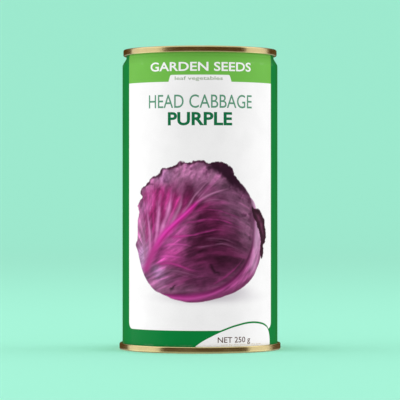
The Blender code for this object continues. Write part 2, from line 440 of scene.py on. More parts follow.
def finish_surface(tree, shader, colour, relief, depth, rough, change):
    """Feeds the colour, the roughness with its change, and a bump whose full relief is that deep."""
    tree.links.new(colour, shader.inputs["Base Color"])
    tree.links.new(calc(tree, "ADD", rough, change, clamp=True), shader.inputs["Roughness"])
    bump = result(tree, "ShaderNodeBump", {"Height": relief, "Distance": depth, "Strength": 1.0})
    tree.links.new(bump, shader.inputs["Normal"])


def varnish_over(tree, shader, where, colour, rubbing):
    """Prints a colour under varnish."""
    finish = grouped(tree, "litho_finish", Position=where, Rubbing=rubbing)
    finish_surface(
        tree, shader, shaded(tree, colour, finish["Shade"]), finish["Relief"], VARNISH_RELIEF,
        VARNISH_ROUGHNESS, finish["Roughness Change"],
    )


def header_tag(tree, around, height):
    """Mask of the white tag with slanted sides that stands up into the header."""
    side = calc(tree, "ABSOLUTE", around)
    past_top = calc(tree, "SUBTRACT", height, TAG_HIGH)
    slant = calc(tree, "MULTIPLY", past_top, TAG_SLANT)
    past_side = calc(tree, "SUBTRACT", calc(tree, "ADD", side, slant), TAG_HALF_WIDTH)
    past = calc(tree, "SMOOTH_MAX", past_side, past_top, 1.1)
    return ramp(tree, past, 0.0, -0.12)


def corner_hill(tree, around, height):
    """How far below the top of the plain white hill in the label's lower right corner, in millimetres."""
    left, right = HILL_SIDES
    across = result(tree, "ShaderNodeMapRange", {"Value": around, "From Min": left, "From Max": right})
    shape = place(tree, "ShaderNodeFloatCurve", {"Value": across})
    curve = shape.mapping.curves[0]
    outline = [(0.0, 0.0), (0.08, 0.25), (0.2, 0.5), (0.34, 0.73), (0.5, 0.91),
               (0.66, 1.0), (0.8, 0.965), (0.9, 0.86), (0.96, 0.70), (1.0, 0.0)]
    for point, (x, y) in zip(curve.points, outline[:2]):
        point.location = (x, y)
    for x, y in outline[2:]:
        curve.points.new(x, y)
    shape.mapping.update()
    top = calc(tree, "MULTIPLY_ADD", shape.outputs[0], HILL_RISE, HILL_FOOT)
    return calc(tree, "SUBTRACT", top, height)


def front_panel(tree, box, from_axis):
    """The green ground with its white panel, the header and tag over it, and the hill in its corner."""
    around, height = box["Around"], box["Height"]
    narrowed = calc(tree, "SUBTRACT", LABEL_RADIUS, from_axis)
    half_width = calc(tree, "MULTIPLY_ADD", narrowed, NECK_SPREAD, PANEL_HALF_WIDTH)
    front = {**box, "High": ABOVE_PRINT, "Half_Width": half_width}
    panel = grouped(tree, "printed_box", **front, Low=PANEL_LOW, Corner=PANEL_CORNER)["Mask"]
    colour = mixed(tree, panel, DARK_GREEN_INK, WHITE_INK)
    header = grouped(tree, "printed_box", **front, Low=HEADER_LOW, Corner=0.0)["Mask"]
    tagged = calc(tree, "SUBTRACT", header, header_tag(tree, around, height), clamp=True)
    colour = mixed(tree, tagged, colour, LIGHT_GREEN_INK)
    below = corner_hill(tree, around, height)
    for (start, end), ink in zip(HILL_RIM, (DARK_GREEN_INK, WHITE_INK)):
        colour = mixed(tree, ramp(tree, below, start, end), colour, ink)
    return colour


def make_printed_tinplate():
    """The body's print, its bare strip at the back, and the wear on its bends."""
    made, tree, shader, where = new_material("printed_tinplate", **VARNISH)
    wrap = grouped(tree, "can_wrap", Position=where)
    box = {"Around": wrap["Around"], "Height": wrap["Height"]}
    colour = side_panels(tree, front_panel(tree, box, wrap["From Axis"]), box)
    behind = calc(tree, "SUBTRACT", BACK, calc(tree, "ABSOLUTE", wrap["Around"]))
    bare = ramp(tree, behind, BARE_STRIP_HALF_WIDTH + 0.06, BARE_STRIP_HALF_WIDTH - 0.06)
    colour = mixed(tree, bare, colour, TINPLATE * 0.9)
    finish = grouped(tree, "litho_finish", Position=where, Rubbing=0.5)
    bends = []
    for bend, reach in ((SHOULDER_HEIGHT, 0.9), (FOOT_BEND_HEIGHT, 0.8)):
        spot = {"Position": where, "Height": wrap["Height"]}
        bends.append(grouped(tree, "edge_wear", **spot, Edge_Height=bend, Reach=reach)["Mask"])
    worn = calc(tree, "MULTIPLY", calc(tree, "ADD", *bends), 0.05, clamp=True)
    colour = mixed(tree, worn, shaded(tree, colour, finish["Shade"]), TINPLATE)
    tree.links.new(calc(tree, "MAXIMUM", bare, worn), shader.inputs["Metallic"])
    finish_surface(
        tree, shader, colour, finish["Relief"], VARNISH_RELIEF, VARNISH_ROUGHNESS, finish["Roughness Change"]
    )
    return made


def side_panels(tree, colour, box):
    """White panels left and right of the bare strip: ruled lines to write on, and a calendar of months."""
    for middle in (-SIDE_PANEL_MIDDLE, SIDE_PANEL_MIDDLE):
        tall = {"Middle": middle, "High": SIDE_PANEL_HIGH, "Half_Width": SIDE_PANEL_HALF_WIDTH}
        plate = grouped(tree, "printed_box", **box, **tall, Low=SIDE_PANEL_LOW, Corner=SIDE_PANEL_CORNER)
        colour = mixed(tree, plate["Mask"], colour, WHITE_INK)
        head = grouped(tree, "printed_box", **box, **tall, Low=SIDE_HEAD_LOW, Corner=0.0)
        heading = calc(tree, "MULTIPLY", head["Mask"], plate["Mask"])
        colour = mixed(tree, heading, colour, LIGHT_GREEN_INK)
    sowing = {"Corner": 0.6, "Half_Width": CALENDAR_CELL[0] * 1.5 - 0.5}
    for row, across in SOWING_BARS:
        low, high = (CALENDAR_FOOT + CALENDAR_CELL[1] * row + end for end in SOWING_BAR_ENDS)
        middle = CALENDAR_LEFT + CALENDAR_CELL[0] * across
        bar = grouped(tree, "printed_box", **box, **sowing, Middle=middle, Low=low, High=high)
        colour = mixed(tree, bar["Mask"], colour, DARK_GREEN_INK)
    months = grouped(
        tree, "ruled_grid", **box, Left=CALENDAR_LEFT, Foot=CALENDAR_FOOT, Columns=6.0, Rows=2.0,
        Cell_Width=CALENDAR_CELL[0], Cell_Height=CALENDAR_CELL[1],
    )
    colour = mixed(tree, months["Mask"], colour, DARK_GREEN_INK)
    for middle, rows in ((-SIDE_PANEL_MIDDLE, 6.0), (SIDE_PANEL_MIDDLE, 3.0)):
        left = middle - WRITING_BOX[0] / 2
        blanks = grouped(
            tree, "ruled_grid", **box, Left=left, Foot=WRITING_FOOT, Columns=1.0, Rows=rows,
            Cell_Width=WRITING_BOX[0], Cell_Height=WRITING_BOX[1], Line=0.10,
        )
        colour = mixed(tree, blanks["Mask"], colour, WRITE_LINE_INK)
    return colour


def make_print_ink(name, colour):
    """Plain ink for lettering, under the same varnish as the body."""
    made, tree, shader, where = new_material(name, **VARNISH)
    varnish_over(tree, shader, where, colour, 0.3)
    return made


def make_picture_ink():
    """The picture's inks, read from its own painted colours."""
    made, tree, shader, where = new_material("picture_inks", **VARNISH)
    paint = place(tree, "ShaderNodeAttribute", attribute_name="ink").outputs["Color"]
    varnish_over(tree, shader, where, paint, 0.5)
    return made


def grained(tree, shader, where, colour, strength, depth, rough):
    """Gives metal its colour, under the rolled grain."""
    grain = grouped(tree, "rolled_grain", Position=where, Strength=strength)
    shade = shaded(tree, colour, grain["Shade"])
    finish_surface(tree, shader, shade, grain["Relief"], depth, rough, grain["Roughness Change"])


def make_gold_lacquer():
    """Tinplate under gold lacquer, worn thin along the seams' edges."""
    made, tree, shader, where = new_material(
        "gold_lacquered_tinplate", Metallic=1.0, Coat_Weight=0.35, Coat_Roughness=0.08, IOR=1.5
    )
    height = grouped(tree, "can_wrap", Position=where)["Height"]
    rims = []
    for rim, reach in ((CAN_HEIGHT / MM, 0.35), (0.0, 0.30)):
        spot = {"Position": where, "Height": height}
        rims.append(grouped(tree, "edge_wear", **spot, Edge_Height=rim, Reach=reach)["Mask"])
    worn = calc(tree, "MAXIMUM", *rims)
    colour = mixed(tree, calc(tree, "MULTIPLY", worn, 0.55), GOLD_LACQUER, TINPLATE)
    grained(tree, shader, where, colour, 1.0, 0.000004, 0.20)
    return made


def make_bare_tinplate():
    """Uncoated tinplate of the ring-pull."""
    made, tree, shader, where = new_material("bare_tinplate", Metallic=1.0)
    grained(tree, shader, where, TINPLATE, 1.4, 0.000006, 0.24)
    return made


def make_weld_steel():
    """The heat-tinted line of the body's side weld."""
    made, tree, shader, where = new_material("weld_steel", Metallic=1.0)
    heat = mottle(tree, where, 500.0, 3.0, (1.0, 1.0, 0.4))
    colour = mixed(tree, ramp(tree, heat, 0.35, 0.7), linear(120, 116, 112), linear(92, 88, 104))
    grained(tree, shader, where, colour, 2.0, 0.000008, 0.40)
    return made


def make_seam_compound():
    """Dried lining compound: matt, slightly pitted."""
    made, tree, shader, where = new_material("lining_compound")
    pits = mottle(tree, where, 1600.0, 4.0)
    colour = mixed(tree, ramp(tree, pits, 0.3, 0.7), linear(88, 92, 90), linear(150, 154, 150))
    finish_surface(tree, shader, colour, pits, 0.00004, 0.72, ramp(tree, pits, 0.3, 0.7, -0.05, 0.08))
    return made


def make_seed_coat():
    """Round dark brown seed, each a little different."""
    made, tree, shader, where = new_material("seed_coat", Sheen_Weight=0.15)
    each = mottle(tree, where, 420.0, 1.0)
    skin = mottle(tree, where, 5200.0, 3.0)
    colour = mixed(tree, ramp(tree, each, 0.35, 0.65), linear(70, 38, 26), linear(134, 84, 58))
    colour = shaded(tree, colour, ramp(tree, skin, 0.3, 0.7, 0.8, 1.1))
    finish_surface(tree, shader, colour, skin, 0.00003, 0.48, ramp(tree, skin, 0.3, 0.7, -0.06, 0.1))
    return made


# ------------------------------------------------------------ geometry trees

INTEGER, GEOMETRY, MATERIAL = "NodeSocketInt", "NodeSocketGeometry", "NodeSocketMaterial"


def close_shape(tree, shape, finish):
    """Ends a geometry tree: instances made real, smooth, and given their material."""
    real = result(tree, "GeometryNodeRealizeInstances", {0: shape})
    smooth = result(tree, "GeometryNodeSetShadeSmooth", {0: real})
    dressed = result(tree, "GeometryNodeSetMaterial", {"Geometry": smooth, "Material": finish})
    return close_group(tree, Shape=dressed)


def make_turned_shell():
    """Turns a profile round Z. The profile is a run of points, with radius in X and height in Z."""
    tree, given = new_group(
        "GeometryNodeTree", "turned_shell",
        [("Profile", GEOMETRY, None), ("Steps", INTEGER, TURN_STEPS), ("Finish", MATERIAL, None)],
        [("Shape", GEOMETRY)],
    )
    count = place(tree, "GeometryNodeAttributeDomainSize", {0: given["Profile"]}).outputs["Point Count"]
    columns = calc(tree, "ADD", given["Steps"], 1.0)
    feeds = {"Size X": 1.0, "Size Y": 1.0, "Vertices X": columns, "Vertices Y": count}
    sheet = place(tree, "GeometryNodeMeshGrid", feeds).outputs
    unrolled = result(
        tree, "GeometryNodeStoreNamedAttribute",
        {"Geometry": sheet["Mesh"], "Name": "OFBake", "Value": sheet["UV Map"]},
        data_type="FLOAT2", domain="CORNER",
    )
    position = result(tree, "GeometryNodeInputPosition")
    flat = place(tree, "ShaderNodeSeparateXYZ", {0: position}).outputs
    angle = calc(tree, "MULTIPLY", calc(tree, "ADD", flat["X"], 0.5), 2 * math.pi)
    last = calc(tree, "SUBTRACT", count, 1.0)
    row = calc(tree, "ROUND", calc(tree, "MULTIPLY", calc(tree, "ADD", flat["Y"], 0.5), last))
    taken = result(
        tree, "GeometryNodeSampleIndex", {"Geometry": given["Profile"], "Value": position, "Index": row},
        data_type="FLOAT_VECTOR",
    )
    point = place(tree, "ShaderNodeSeparateXYZ", {0: taken}).outputs
    turned_to = result(tree, "ShaderNodeCombineXYZ", {
        "X": calc(tree, "MULTIPLY", point["X"], calc(tree, "COSINE", angle)),
        "Y": calc(tree, "MULTIPLY", point["X"], calc(tree, "SINE", angle)),
        "Z": point["Z"],
    })
    moved = result(tree, "GeometryNodeSetPosition", {"Geometry": unrolled, "Position": turned_to})
    closed = result(tree, "GeometryNodeMergeByDistance", {"Geometry": moved, "Distance": 0.000002})
    return close_shape(tree, closed, given["Finish"])


def drawn_by_lot(tree, seed, low, high):
    """Three random numbers for each instance, between those limits."""
    feeds = {"Min": low, "Max": high, "Seed": seed}
    return result(tree, "FunctionNodeRandomValue", feeds, data_type="FLOAT_VECTOR")


def make_weld_nuggets():
    """Flattened beads of steel, one after another up a line."""
    tree, given = new_group(
        "GeometryNodeTree", "weld_nuggets",
        [("Line", GEOMETRY, None), ("Pitch", FLOAT, 0.0006), ("Width", FLOAT, 0.0007),
         ("Height", FLOAT, 0.00005), ("Length", FLOAT, 0.0005), ("Seed", INTEGER, 3),
         ("Finish", MATERIAL, None)],
        [("Shape", GEOMETRY)],
    )
    run = result(tree, "GeometryNodeMeshToCurve", {0: given["Line"]})
    dots = result(tree, "GeometryNodeResampleCurve", {"Curve": run, "Length": given["Pitch"]}, mode="LENGTH")
    bead = result(tree, "GeometryNodeMeshUVSphere", {"Segments": 8, "Rings": 5, "Radius": 0.5})
    thickness = calc(tree, "MULTIPLY", given["Height"], 2.0)
    size = result(tree, "ShaderNodeCombineXYZ", {"X": given["Width"], "Y": thickness, "Z": given["Length"]})
    change = drawn_by_lot(tree, given["Seed"], (0.85, 0.8, 0.9), (1.1, 1.1, 1.1))
    varied = result(tree, "ShaderNodeVectorMath", {0: size, 1: change}, operation="MULTIPLY")
    rows = result(tree, "GeometryNodeInstanceOnPoints", {"Points": dots, "Instance": bead, "Scale": varied})
    return close_shape(tree, rows, given["Finish"])


# More seeds to the square metre than their spacing lets in.
DENSEST = 900000.0


def make_seed_scatter():
    """Round seeds strewn over a surface, each turned and sized a little differently."""
    tree, given = new_group(
        "GeometryNodeTree", "seed_scatter",
        [("Bed", GEOMETRY, None), ("Spacing", FLOAT, 0.0019), ("Size", FLOAT, 0.0021),
         ("Seed", INTEGER, 7), ("Finish", MATERIAL, None)],
        [("Shape", GEOMETRY)],
    )
    feeds = {"Mesh": given["Bed"], "Distance Min": given["Spacing"], "Density Max": DENSEST}
    feeds["Seed"] = given["Seed"]
    spots = result(tree, "GeometryNodeDistributePointsOnFaces", feeds, distribute_method="POISSON")
    radius = calc(tree, "MULTIPLY", given["Size"], 0.5)
    grain = result(tree, "GeometryNodeMeshIcoSphere", {"Radius": radius, "Subdivisions": 2})
    turn = drawn_by_lot(tree, given["Seed"], (0.0, 0.0, 0.0), (6.28, 6.28, 6.28))
    size = drawn_by_lot(tree, given["Seed"], (0.78, 0.82, 0.8), (1.05, 1.0, 1.02))
    feeds = {"Points": spots, "Instance": grain, "Rotation": turn, "Scale": size}
    return close_shape(tree, result(tree, "GeometryNodeInstanceOnPoints", feeds), given["Finish"])


def grow(name, mesh, tree, **values):
    """Runs a geometry tree on a mesh, and keeps the result as a plain object."""
    made = placed(name, mesh)
    maker = made.modifiers.new(tree.name, "NODES")
    maker.node_group = tree
    sockets = {item.name: item.identifier for item in tree.interface.items_tree if item.in_out == "INPUT"}
    for label, value in values.items():
        maker[sockets[label]] = value
    grown = shown_mesh(made)
    made.modifiers.remove(maker)
    made.data = grown
    grown.name = name
    return made


# ------------------------------------------------------------- turned pieces

def rounded(corners, steps=6):
    """A run of (radius, depth, fillet) corners, each fillet drawn as an arc."""
    points = [Vector(corner[:2]) for corner in corners]
    line = [points[0]]
    for before, here, after, fillet in zip(points, points[1:], points[2:], [c[2] for c in corners[1:]]):
        if fillet == 0.0:
            line.append(here)
            continue
        back, on = (before - here).normalized(), (after - here).normalized()
        half = back.angle(on) / 2
        centre = here + (back + on).normalized() * (fillet / math.sin(half))
        start = here + back * (fillet / math.tan(half)) - centre
        end = here + on * (fillet / math.tan(half)) - centre
        sweep = start.angle_signed(end)
        for i in range(steps + 1):
            turn = -sweep * i / steps
            line.append(centre + Vector((
                start.x * math.cos(turn) - start.y * math.sin(turn),
                start.x * math.sin(turn) + start.y * math.cos(turn),
            )))
    line.append(points[-1])
    return [tuple(point) for point in line]


def spaced(line, longest):
    """The same line with no step longer than that."""
    made = [line[0]]
    for (ax, ay), (bx, by) in zip(line, line[1:]):
        count = max(1, math.ceil(math.hypot(bx - ax, by - ay) / longest))
        made += [(ax + (bx - ax) * i / count, ay + (by - ay) * i / count) for i in range(1, count + 1)]
    return made


def offset_line(line, distance):
    """The line moved sideways, mitred at its corners. A point on the axis stays on it."""
    points = np.array(line)
    runs = np.diff(points, axis=0)
    runs /= np.linalg.norm(runs, axis=1)[:, None]
    normals = np.stack([runs[:, 1], -runs[:, 0]], axis=1)
    before = np.vstack([normals[:1], normals])
    after = np.vstack([normals, normals[-1:]])
    mitre = before + after
    mitre /= (1 + (before * after).sum(axis=1))[:, None]
    moved = points + mitre * distance
    moved[:, 0] = np.where(points[:, 0] < 1e-9, 0.0, moved[:, 0])
    return moved


def plate_outline(line, outside, fine, coarse, score=0.0):
    """Outline of a plate from its middle line. Outside is 1 or -1, for the side that shows in finer steps."""
    first = offset_line(spaced(line, fine), outside * PLATE / 2)
    second = offset_line(spaced(line, coarse), -outside * PLATE / 2)
    first[:, 1] -= score * np.clip(1 - np.abs(first[:, 0] - SCORE_RADIUS) / SCORE_HALF_WIDTH, 0, 1)
    if line[-1][0] < 1e-9:
        return np.vstack([first[::-1], second])
    return np.vstack([first, second[::-1], first[:1]])


def turned(name, outline, finish, steps=TURN_STEPS):
    """A closed piece turned from its outline by the turned_shell tree."""
    mesh = bpy.data.meshes.new(name)
    mesh.from_pydata([(radius, 0.0, height) for radius, height in outline], [], [])
    made = grow(name, mesh, TREES["turned_shell"], Steps=steps, Finish=finish)
    face_outwards(made.data)
    return made


def from_top(points):
    """Turns depths below the can's top into heights."""
    moved = np.array(points)
    moved[:, 1] = CAN_HEIGHT - moved[:, 1]
    return moved


def body_line():
    """Middle line of the body from its top flange to its bottom one, as (radius, height)."""
    neck, wall = NECK_RADIUS - PLATE / 2, BODY_RADIUS - PLATE / 2
    bend = LAYER_PITCH - BEND_SLACK
    flange_tip = CURL_BOTTOM_DEPTH - LAYER_PITCH
    flange_radius = neck + 2 * LAYER_PITCH
    hook_radius = wall + 2 * LAYER_PITCH
    head = [
        (flange_radius, flange_tip, 0.0),
        (flange_radius, HOOK_TOP_DEPTH, bend),
        (neck, HOOK_TOP_DEPTH, bend),
        (neck, NECK_DEPTH, 0.0009),
        (wall, SHOULDER_DEPTH, 0.0016),
    ]
    foot = [
        (wall, CAN_HEIGHT - HOOK_TOP_DEPTH, bend),
        (hook_radius, CAN_HEIGHT - HOOK_TOP_DEPTH, bend),
        (hook_radius, CAN_HEIGHT - flange_tip, 0.0),
    ]
    return from_top(rounded(head + foot))


def end_line(wall_radius, beads, marks=()):
    """Middle line of a can end: hook, seam, chuck wall, countersink, beads and panel, as (radius, depth)."""
    wall = wall_radius - PLATE / 2
    chuck = wall - LAYER_PITCH
    seam = wall + 3 * LAYER_PITCH
    curl = LAYER_PITCH - BEND_SLACK
    groove = COUNTERSINK_DEPTH - PLATE / 2
    groove_outer = chuck - CHUCK_WALL_TAPER
    panel = groove_outer - 2 * COUNTERSINK_RADIUS
    corners = [
        (wall + LAYER_PITCH, HOOK_BEND_DEPTH, 0.0),
        (wall + LAYER_PITCH, CURL_BOTTOM_DEPTH, curl),
        (seam, CURL_BOTTOM_DEPTH, curl),
        (seam + 0.00003, PLATE / 2, 0.00065),
        (chuck, PLATE / 2, 0.00058),
        (groove_outer, groove, COUNTERSINK_RADIUS - 0.00003),
        (panel, groove, COUNTERSINK_RADIUS - 0.00003),
        (panel, PANEL_DEPTH, 0.0004),
    ]
    corners += [(mark, PANEL_DEPTH, 0.0) for mark in marks]
    for outer, inner in beads:
        corners += [
            (outer, PANEL_DEPTH, 0.0008),
            (outer - BEAD_SLOPE, PANEL_DEPTH + BEAD_DEPTH, 0.0004),
            (inner + BEAD_SLOPE, PANEL_DEPTH + BEAD_DEPTH, 0.0004),
            (inner, PANEL_DEPTH, 0.0008),
        ]
    corners.append((0.0, PANEL_DEPTH, 0.0))
    return rounded(corners, 5)


def radius_at(height):
    """The body's outer radius at a height, both in metres."""
    return np.interp(height, OUTER_WALL[0], OUTER_WALL[1])


def outer_wall():
    """Heights and radii up the outside of the body, from above the bottom seam to the top one."""
    side = offset_line(spaced(body_line(), 0.001), -PLATE / 2)[::-1]
    top, bottom = CAN_HEIGHT - 0.0030, 0.0020
    kept = side[(side[:, 1] > bottom) & (side[:, 1] < top) & (side[:, 0] < BODY_RADIUS + 0.0001)]
    return kept[:, 1], kept[:, 0]


def on_can(around, height, lift):
    """Places on the body for label positions in millimetres, lifted off it by that many millimetres."""
    angle = np.asarray(around) / LABEL_RADIUS
    radius = radius_at(np.asarray(height) * MM) + np.asarray(lift) * MM
    return np.stack([radius * np.sin(angle), -radius * np.cos(angle), np.asarray(height) * MM], axis=-1)


# ------------------------------------------------------------ painted picture

def value_noise(x, y, scale, seed):
    """Smooth noise from -1 to 1, with features about scale mm across."""
    lattice = np.random.RandomState(seed).uniform(-1.0, 1.0, (256, 256))
    gx, gy = x / scale + 97.0, y / scale + 61.0
    ix, iy = np.floor(gx).astype(int), np.floor(gy).astype(int)
    fx, fy = gx - ix, gy - iy
    fx, fy = fx * fx * (3 - 2 * fx), fy * fy * (3 - 2 * fy)
    low = lattice[ix % 256, iy % 256] * (1 - fx) + lattice[(ix + 1) % 256, iy % 256] * fx
    high = lattice[ix % 256, (iy + 1) % 256] * (1 - fx) + lattice[(ix + 1) % 256, (iy + 1) % 256] * fx
    return low * (1 - fy) + high * fy


def cloudy(x, y, scale, seed, octaves=4):
    """Layered noise, each layer half as coarse as the last."""
    total, weight = 0.0, 0.0
    for i in range(octaves):
        share = 0.55 ** i
        total = total + share * value_noise(x, y, scale / 2 ** i, seed + i)
        weight += share
    return total / weight


def step_between(low, high, value):
    """Eases from 0 to 1 as the value goes from low to high, or the other way if low is the greater."""
    t = np.clip((value - low) / (high - low), 0.0, 1.0)
    return t * t * (3 - 2 * t)


def smoothed(knots, places):
    """Places on a Catmull-Rom curve. Place 0 is the second knot, and each 1 on is the next knot."""
    i = places.astype(int)
    f = (places - i)[:, None]
    a, b, c, d = (knots[i + step] for step in range(4))
    square, cube = 2 * a - 5 * b + 4 * c - d, 3 * b - a - 3 * c + d
    return 0.5 * (2 * b + (c - a) * f + square * f ** 2 + cube * f ** 3)


def flow(points, count):
    """A smooth open curve through points."""
    p = np.array(points, float)
    knots = np.vstack([2 * p[0] - p[1], p, 2 * p[-1] - p[-2]])
    return smoothed(knots, np.linspace(0, len(p) - 1 - 1e-9, count))


def closed_loop(points, count):
    """A smooth closed curve through points."""
    p = np.array(points, float)
    return smoothed(np.vstack([p[-1:], p, p[:2]]), np.linspace(0, len(p), count, endpoint=False))


def nearest(curve, x, y):
    """Distance to a curve, how far along it (0 to 1), and which side (+1 left of its run)."""
    best = np.full(x.shape, 1e9)
    along = np.zeros(x.shape)
    side = np.ones(x.shape)
    count = len(curve) - 1
    for i in range(count):
        ax, ay = curve[i]
        dx, dy = curve[i + 1] - curve[i]
        size = dx * dx + dy * dy + 1e-12
        t = np.clip(((x - ax) * dx + (y - ay) * dy) / size, 0.0, 1.0)
        ox, oy = x - ax - t * dx, y - ay - t * dy
        d = np.sqrt(ox * ox + oy * oy)
        closer = d < best
        best = np.where(closer, d, best)
        along = np.where(closer, (i + t) / count, along)
        side = np.where(closer, np.sign(dx * oy - dy * ox), side)
    return best, along, side


def inside(shape, x, y):
    """Signed distance to a closed outline, positive inside."""
    closed = np.vstack([shape, shape[:1]])
    d, _, _ = nearest(closed, x, y)
    crossings = np.zeros(x.shape, int)
    for (ax, ay), (bx, by) in zip(closed[:-1], closed[1:]):
        if ay == by:
            continue
        spans = (ay > y) != (by > y)
        crossings += spans & (x < (bx - ax) * (y - ay) / (by - ay) + ax)
    return np.where(crossings % 2 == 1, d, -d)


def blend(under, over, mask):
    """One colour laid over another, as far as the mask says."""
    mask = np.clip(mask, 0.0, 1.0)[..., None]
    return under * (1 - mask) + np.asarray(over) * mask


def tint(red, green, blue):
    """A display colour, 0 to 255, with parts from 0 to 1."""
    return np.array((red, green, blue)) / 255.0


BLOOM = tint(210, 178, 210)
LILAC = tint(180, 132, 176)
PALE_PINK = tint(204, 132, 182)
MAUVE = tint(170, 118, 152)
DUSK = tint(122, 80, 108)
ROSE = tint(212, 98, 176)
MAGENTA = tint(194, 52, 150)
FLUSH = tint(176, 68, 138)
WINE = tint(146, 44, 104)
PLUM = tint(104, 48, 84)
DARK = tint(68, 24, 50)
FRINGE = tint(44, 18, 36)

# Outlines and ribs of the leaves, in millimetres on the label.
HEAD = [
    (-20.4, 28.6), (-24.8, 31.8), (-28.0, 35.4), (-30.2, 39.2), (-31.8, 43.4), (-33.2, 47.2), (-34.8, 50.3),
    (-33.6, 53.0), (-33.6, 57.6), (-33.2, 62.0), (-32.2, 65.6), (-33.2, 68.6), (-31.6, 71.0), (-30.2, 72.8),
    (-31.4, 74.8), (-29.4, 77.2), (-26.0, 79.2), (-24.2, 81.4), (-20.8, 82.6), (-18.4, 85.4), (-14.4, 86.2),
    (-12.0, 87.6), (-8.4, 88.8), (-4.0, 88.6), (0.0, 89.4), (4.0, 88.0), (8.0, 88.6), (12.8, 87.6),
    (15.6, 85.2), (16.8, 82.0), (20.2, 78.8), (23.2, 75.6), (25.4, 72.0), (26.2, 66.0), (26.8, 60.0),
    (26.4, 54.0), (25.0, 48.4), (22.4, 43.0), (18.2, 37.6), (12.0, 32.8), (5.0, 29.8), (-3.0, 28.4),
    (-12.0, 27.8),
]
WRAP = [
    (-21.0, 31.0), (-19.8, 28.6), (-15.6, 27.0), (-12.0, 25.4), (-7.0, 24.5), (-1.0, 24.2), (5.0, 25.2),
    (12.0, 27.2), (19.4, 30.0), (26.4, 35.4), (30.6, 41.4), (32.4, 47.0), (32.6, 53.0), (31.6, 59.0),
    (29.6, 65.0), (26.8, 71.0), (22.0, 72.0), (18.0, 52.0), (6.0, 36.0), (-10.0, 32.0),
]
TORN = [
    (25.4, 68.0), (28.4, 67.0), (31.4, 66.6), (33.0, 64.6), (34.8, 61.8), (35.8, 56.8), (35.6, 51.8),
    (34.0, 50.6), (34.2, 46.0), (32.6, 44.0), (31.6, 46.6), (32.0, 50.4), (30.8, 56.0), (28.8, 60.4),
    (27.0, 64.6),
]
MIDRIB = [
    (-27.2, 39.4), (-24.2, 45.4), (-20.8, 50.8), (-16.6, 55.8), (-11.6, 60.4), (-7.0, 64.4), (-3.4, 67.8),
    (-0.8, 70.4), (3.2, 73.0), (8.0, 75.0), (13.6, 76.4),
]
BASE_RIB = [
    (-19.0, 28.8), (-13.0, 27.2), (-6.0, 26.6), (2.0, 27.8), (10.0, 30.8), (17.0, 35.6), (22.4, 41.6),
    (25.8, 48.6), (27.4, 56.0), (27.4, 63.0), (26.0, 68.0),
]
HOOD = [(7.6, 88.2), (12.2, 86.4), (14.8, 82.2), (18.4, 79.0), (22.2, 74.8), (24.0, 71.6)]
# Where the streaks left of the midrib fan from.
FAN_FOOT = (-24.0, 43.0)
# Soft washes laid over one another: ink, middle, half width and height, strength.
WASHES = [
    (DUSK, (17.0, 66.0), (15.0, 17.0), 1.0),
    (DUSK, (6.0, 76.0), (10.0, 6.0), 0.9),
    (MAUVE, (3.0, 83.4), (8.0, 4.6), 0.8),
    (PALE_PINK, (-1.0, 84.0), (7.0, 4.0), 0.35),
    (FLUSH, (-20.0, 66.0), (12.0, 12.0), 0.55),
    (MAGENTA, (-20.4, 52.0), (3.6, 7.0), 0.7),
    (PLUM, (0.0, 38.0), (21.0, 9.5), 0.9),
    (FLUSH, (-15.0, 46.0), (7.0, 5.0), 0.7),
    (ROSE, (-14.0, 53.0), (6.0, 5.0), 0.85),
    (ROSE, (-8.0, 55.0), (5.0, 5.0), 0.45),
    (DARK, (1.0, 46.5), (10.0, 5.5), 0.65),
    (DARK, (3.0, 60.0), (8.6, 9.5), 0.95),
    (DARK, (3.0, 51.0), (9.5, 5.0), 0.8),
    (DARK, (14.0, 53.0), (8.0, 7.0), 0.62),
    (DARK, (13.0, 44.0), (9.0, 5.5), 0.7),
    (WINE, (1.0, 69.0), (5.0, 2.6), 0.5),
    (DARK, (-3.2, 70.6), (4.0, 3.6), 0.8),
    (PLUM, (3.0, 76.0), (4.4, 3.0), 0.5),
    (PLUM, (8.6, 70.4), (4.4, 3.0), 0.4),
    (PLUM, (-11.6, 34.4), (6.0, 2.4), 0.5),
    (LILAC, (-17.6, 82.4), (5.0, 2.8), 0.5),
    (LILAC, (-28.6, 68.6), (2.4, 4.6), 0.4),
    (MAUVE, (22.6, 61.0), (4.4, 11.0), 0.5),
    (DARK, (22.0, 47.0), (4.0, 5.0), 0.3),
    (WINE, (-20.0, 73.0), (3.6, 4.0), 0.75),
    (WINE, (-22.8, 64.0), (1.4, 8.0), 0.9),
    (WINE, (-18.2, 66.0), (1.3, 6.0), 0.8),
    (WINE, (-27.4, 56.0), (1.2, 8.0), 0.6),
    (WINE, (-28.4, 72.0), (3.0, 3.0), 0.5),
    (DARK, (-13.0, 74.5), (2.6, 4.2), 0.5),
    (WINE, (-13.4, 70.6), (4.2, 5.0), 0.75),
    (DARK, (-5.6, 74.0), (3.6, 5.2), 0.75),
    (WINE, (-8.0, 65.0), (4.0, 3.4), 0.45),
    (WINE, (-7.4, 69.6), (3.4, 3.6), 0.6),
    (LILAC, (-29.4, 43.6), (5.4, 7.0), 1.0),
    (PALE_PINK, (-32.6, 58.0), (1.8, 7.0), 0.5),
    (FLUSH, (-26.2, 40.6), (2.4, 4.0), 0.2),
    (BLOOM, (-28.0, 41.6), (3.4, 6.0), 0.5),
    (ROSE, (-19.6, 45.0), (4.0, 4.0), 0.8),
    (PALE_PINK, (-15.0, 52.5), (3.6, 3.0), 0.4),
    (LILAC, (-22.6, 36.4), (6.0, 5.0), 1.0),
    (PALE_PINK, (-22.6, 33.0), (4.6, 3.0), 0.9),
    (DUSK, (-14.0, 36.4), (5.5, 3.2), 0.4),
]
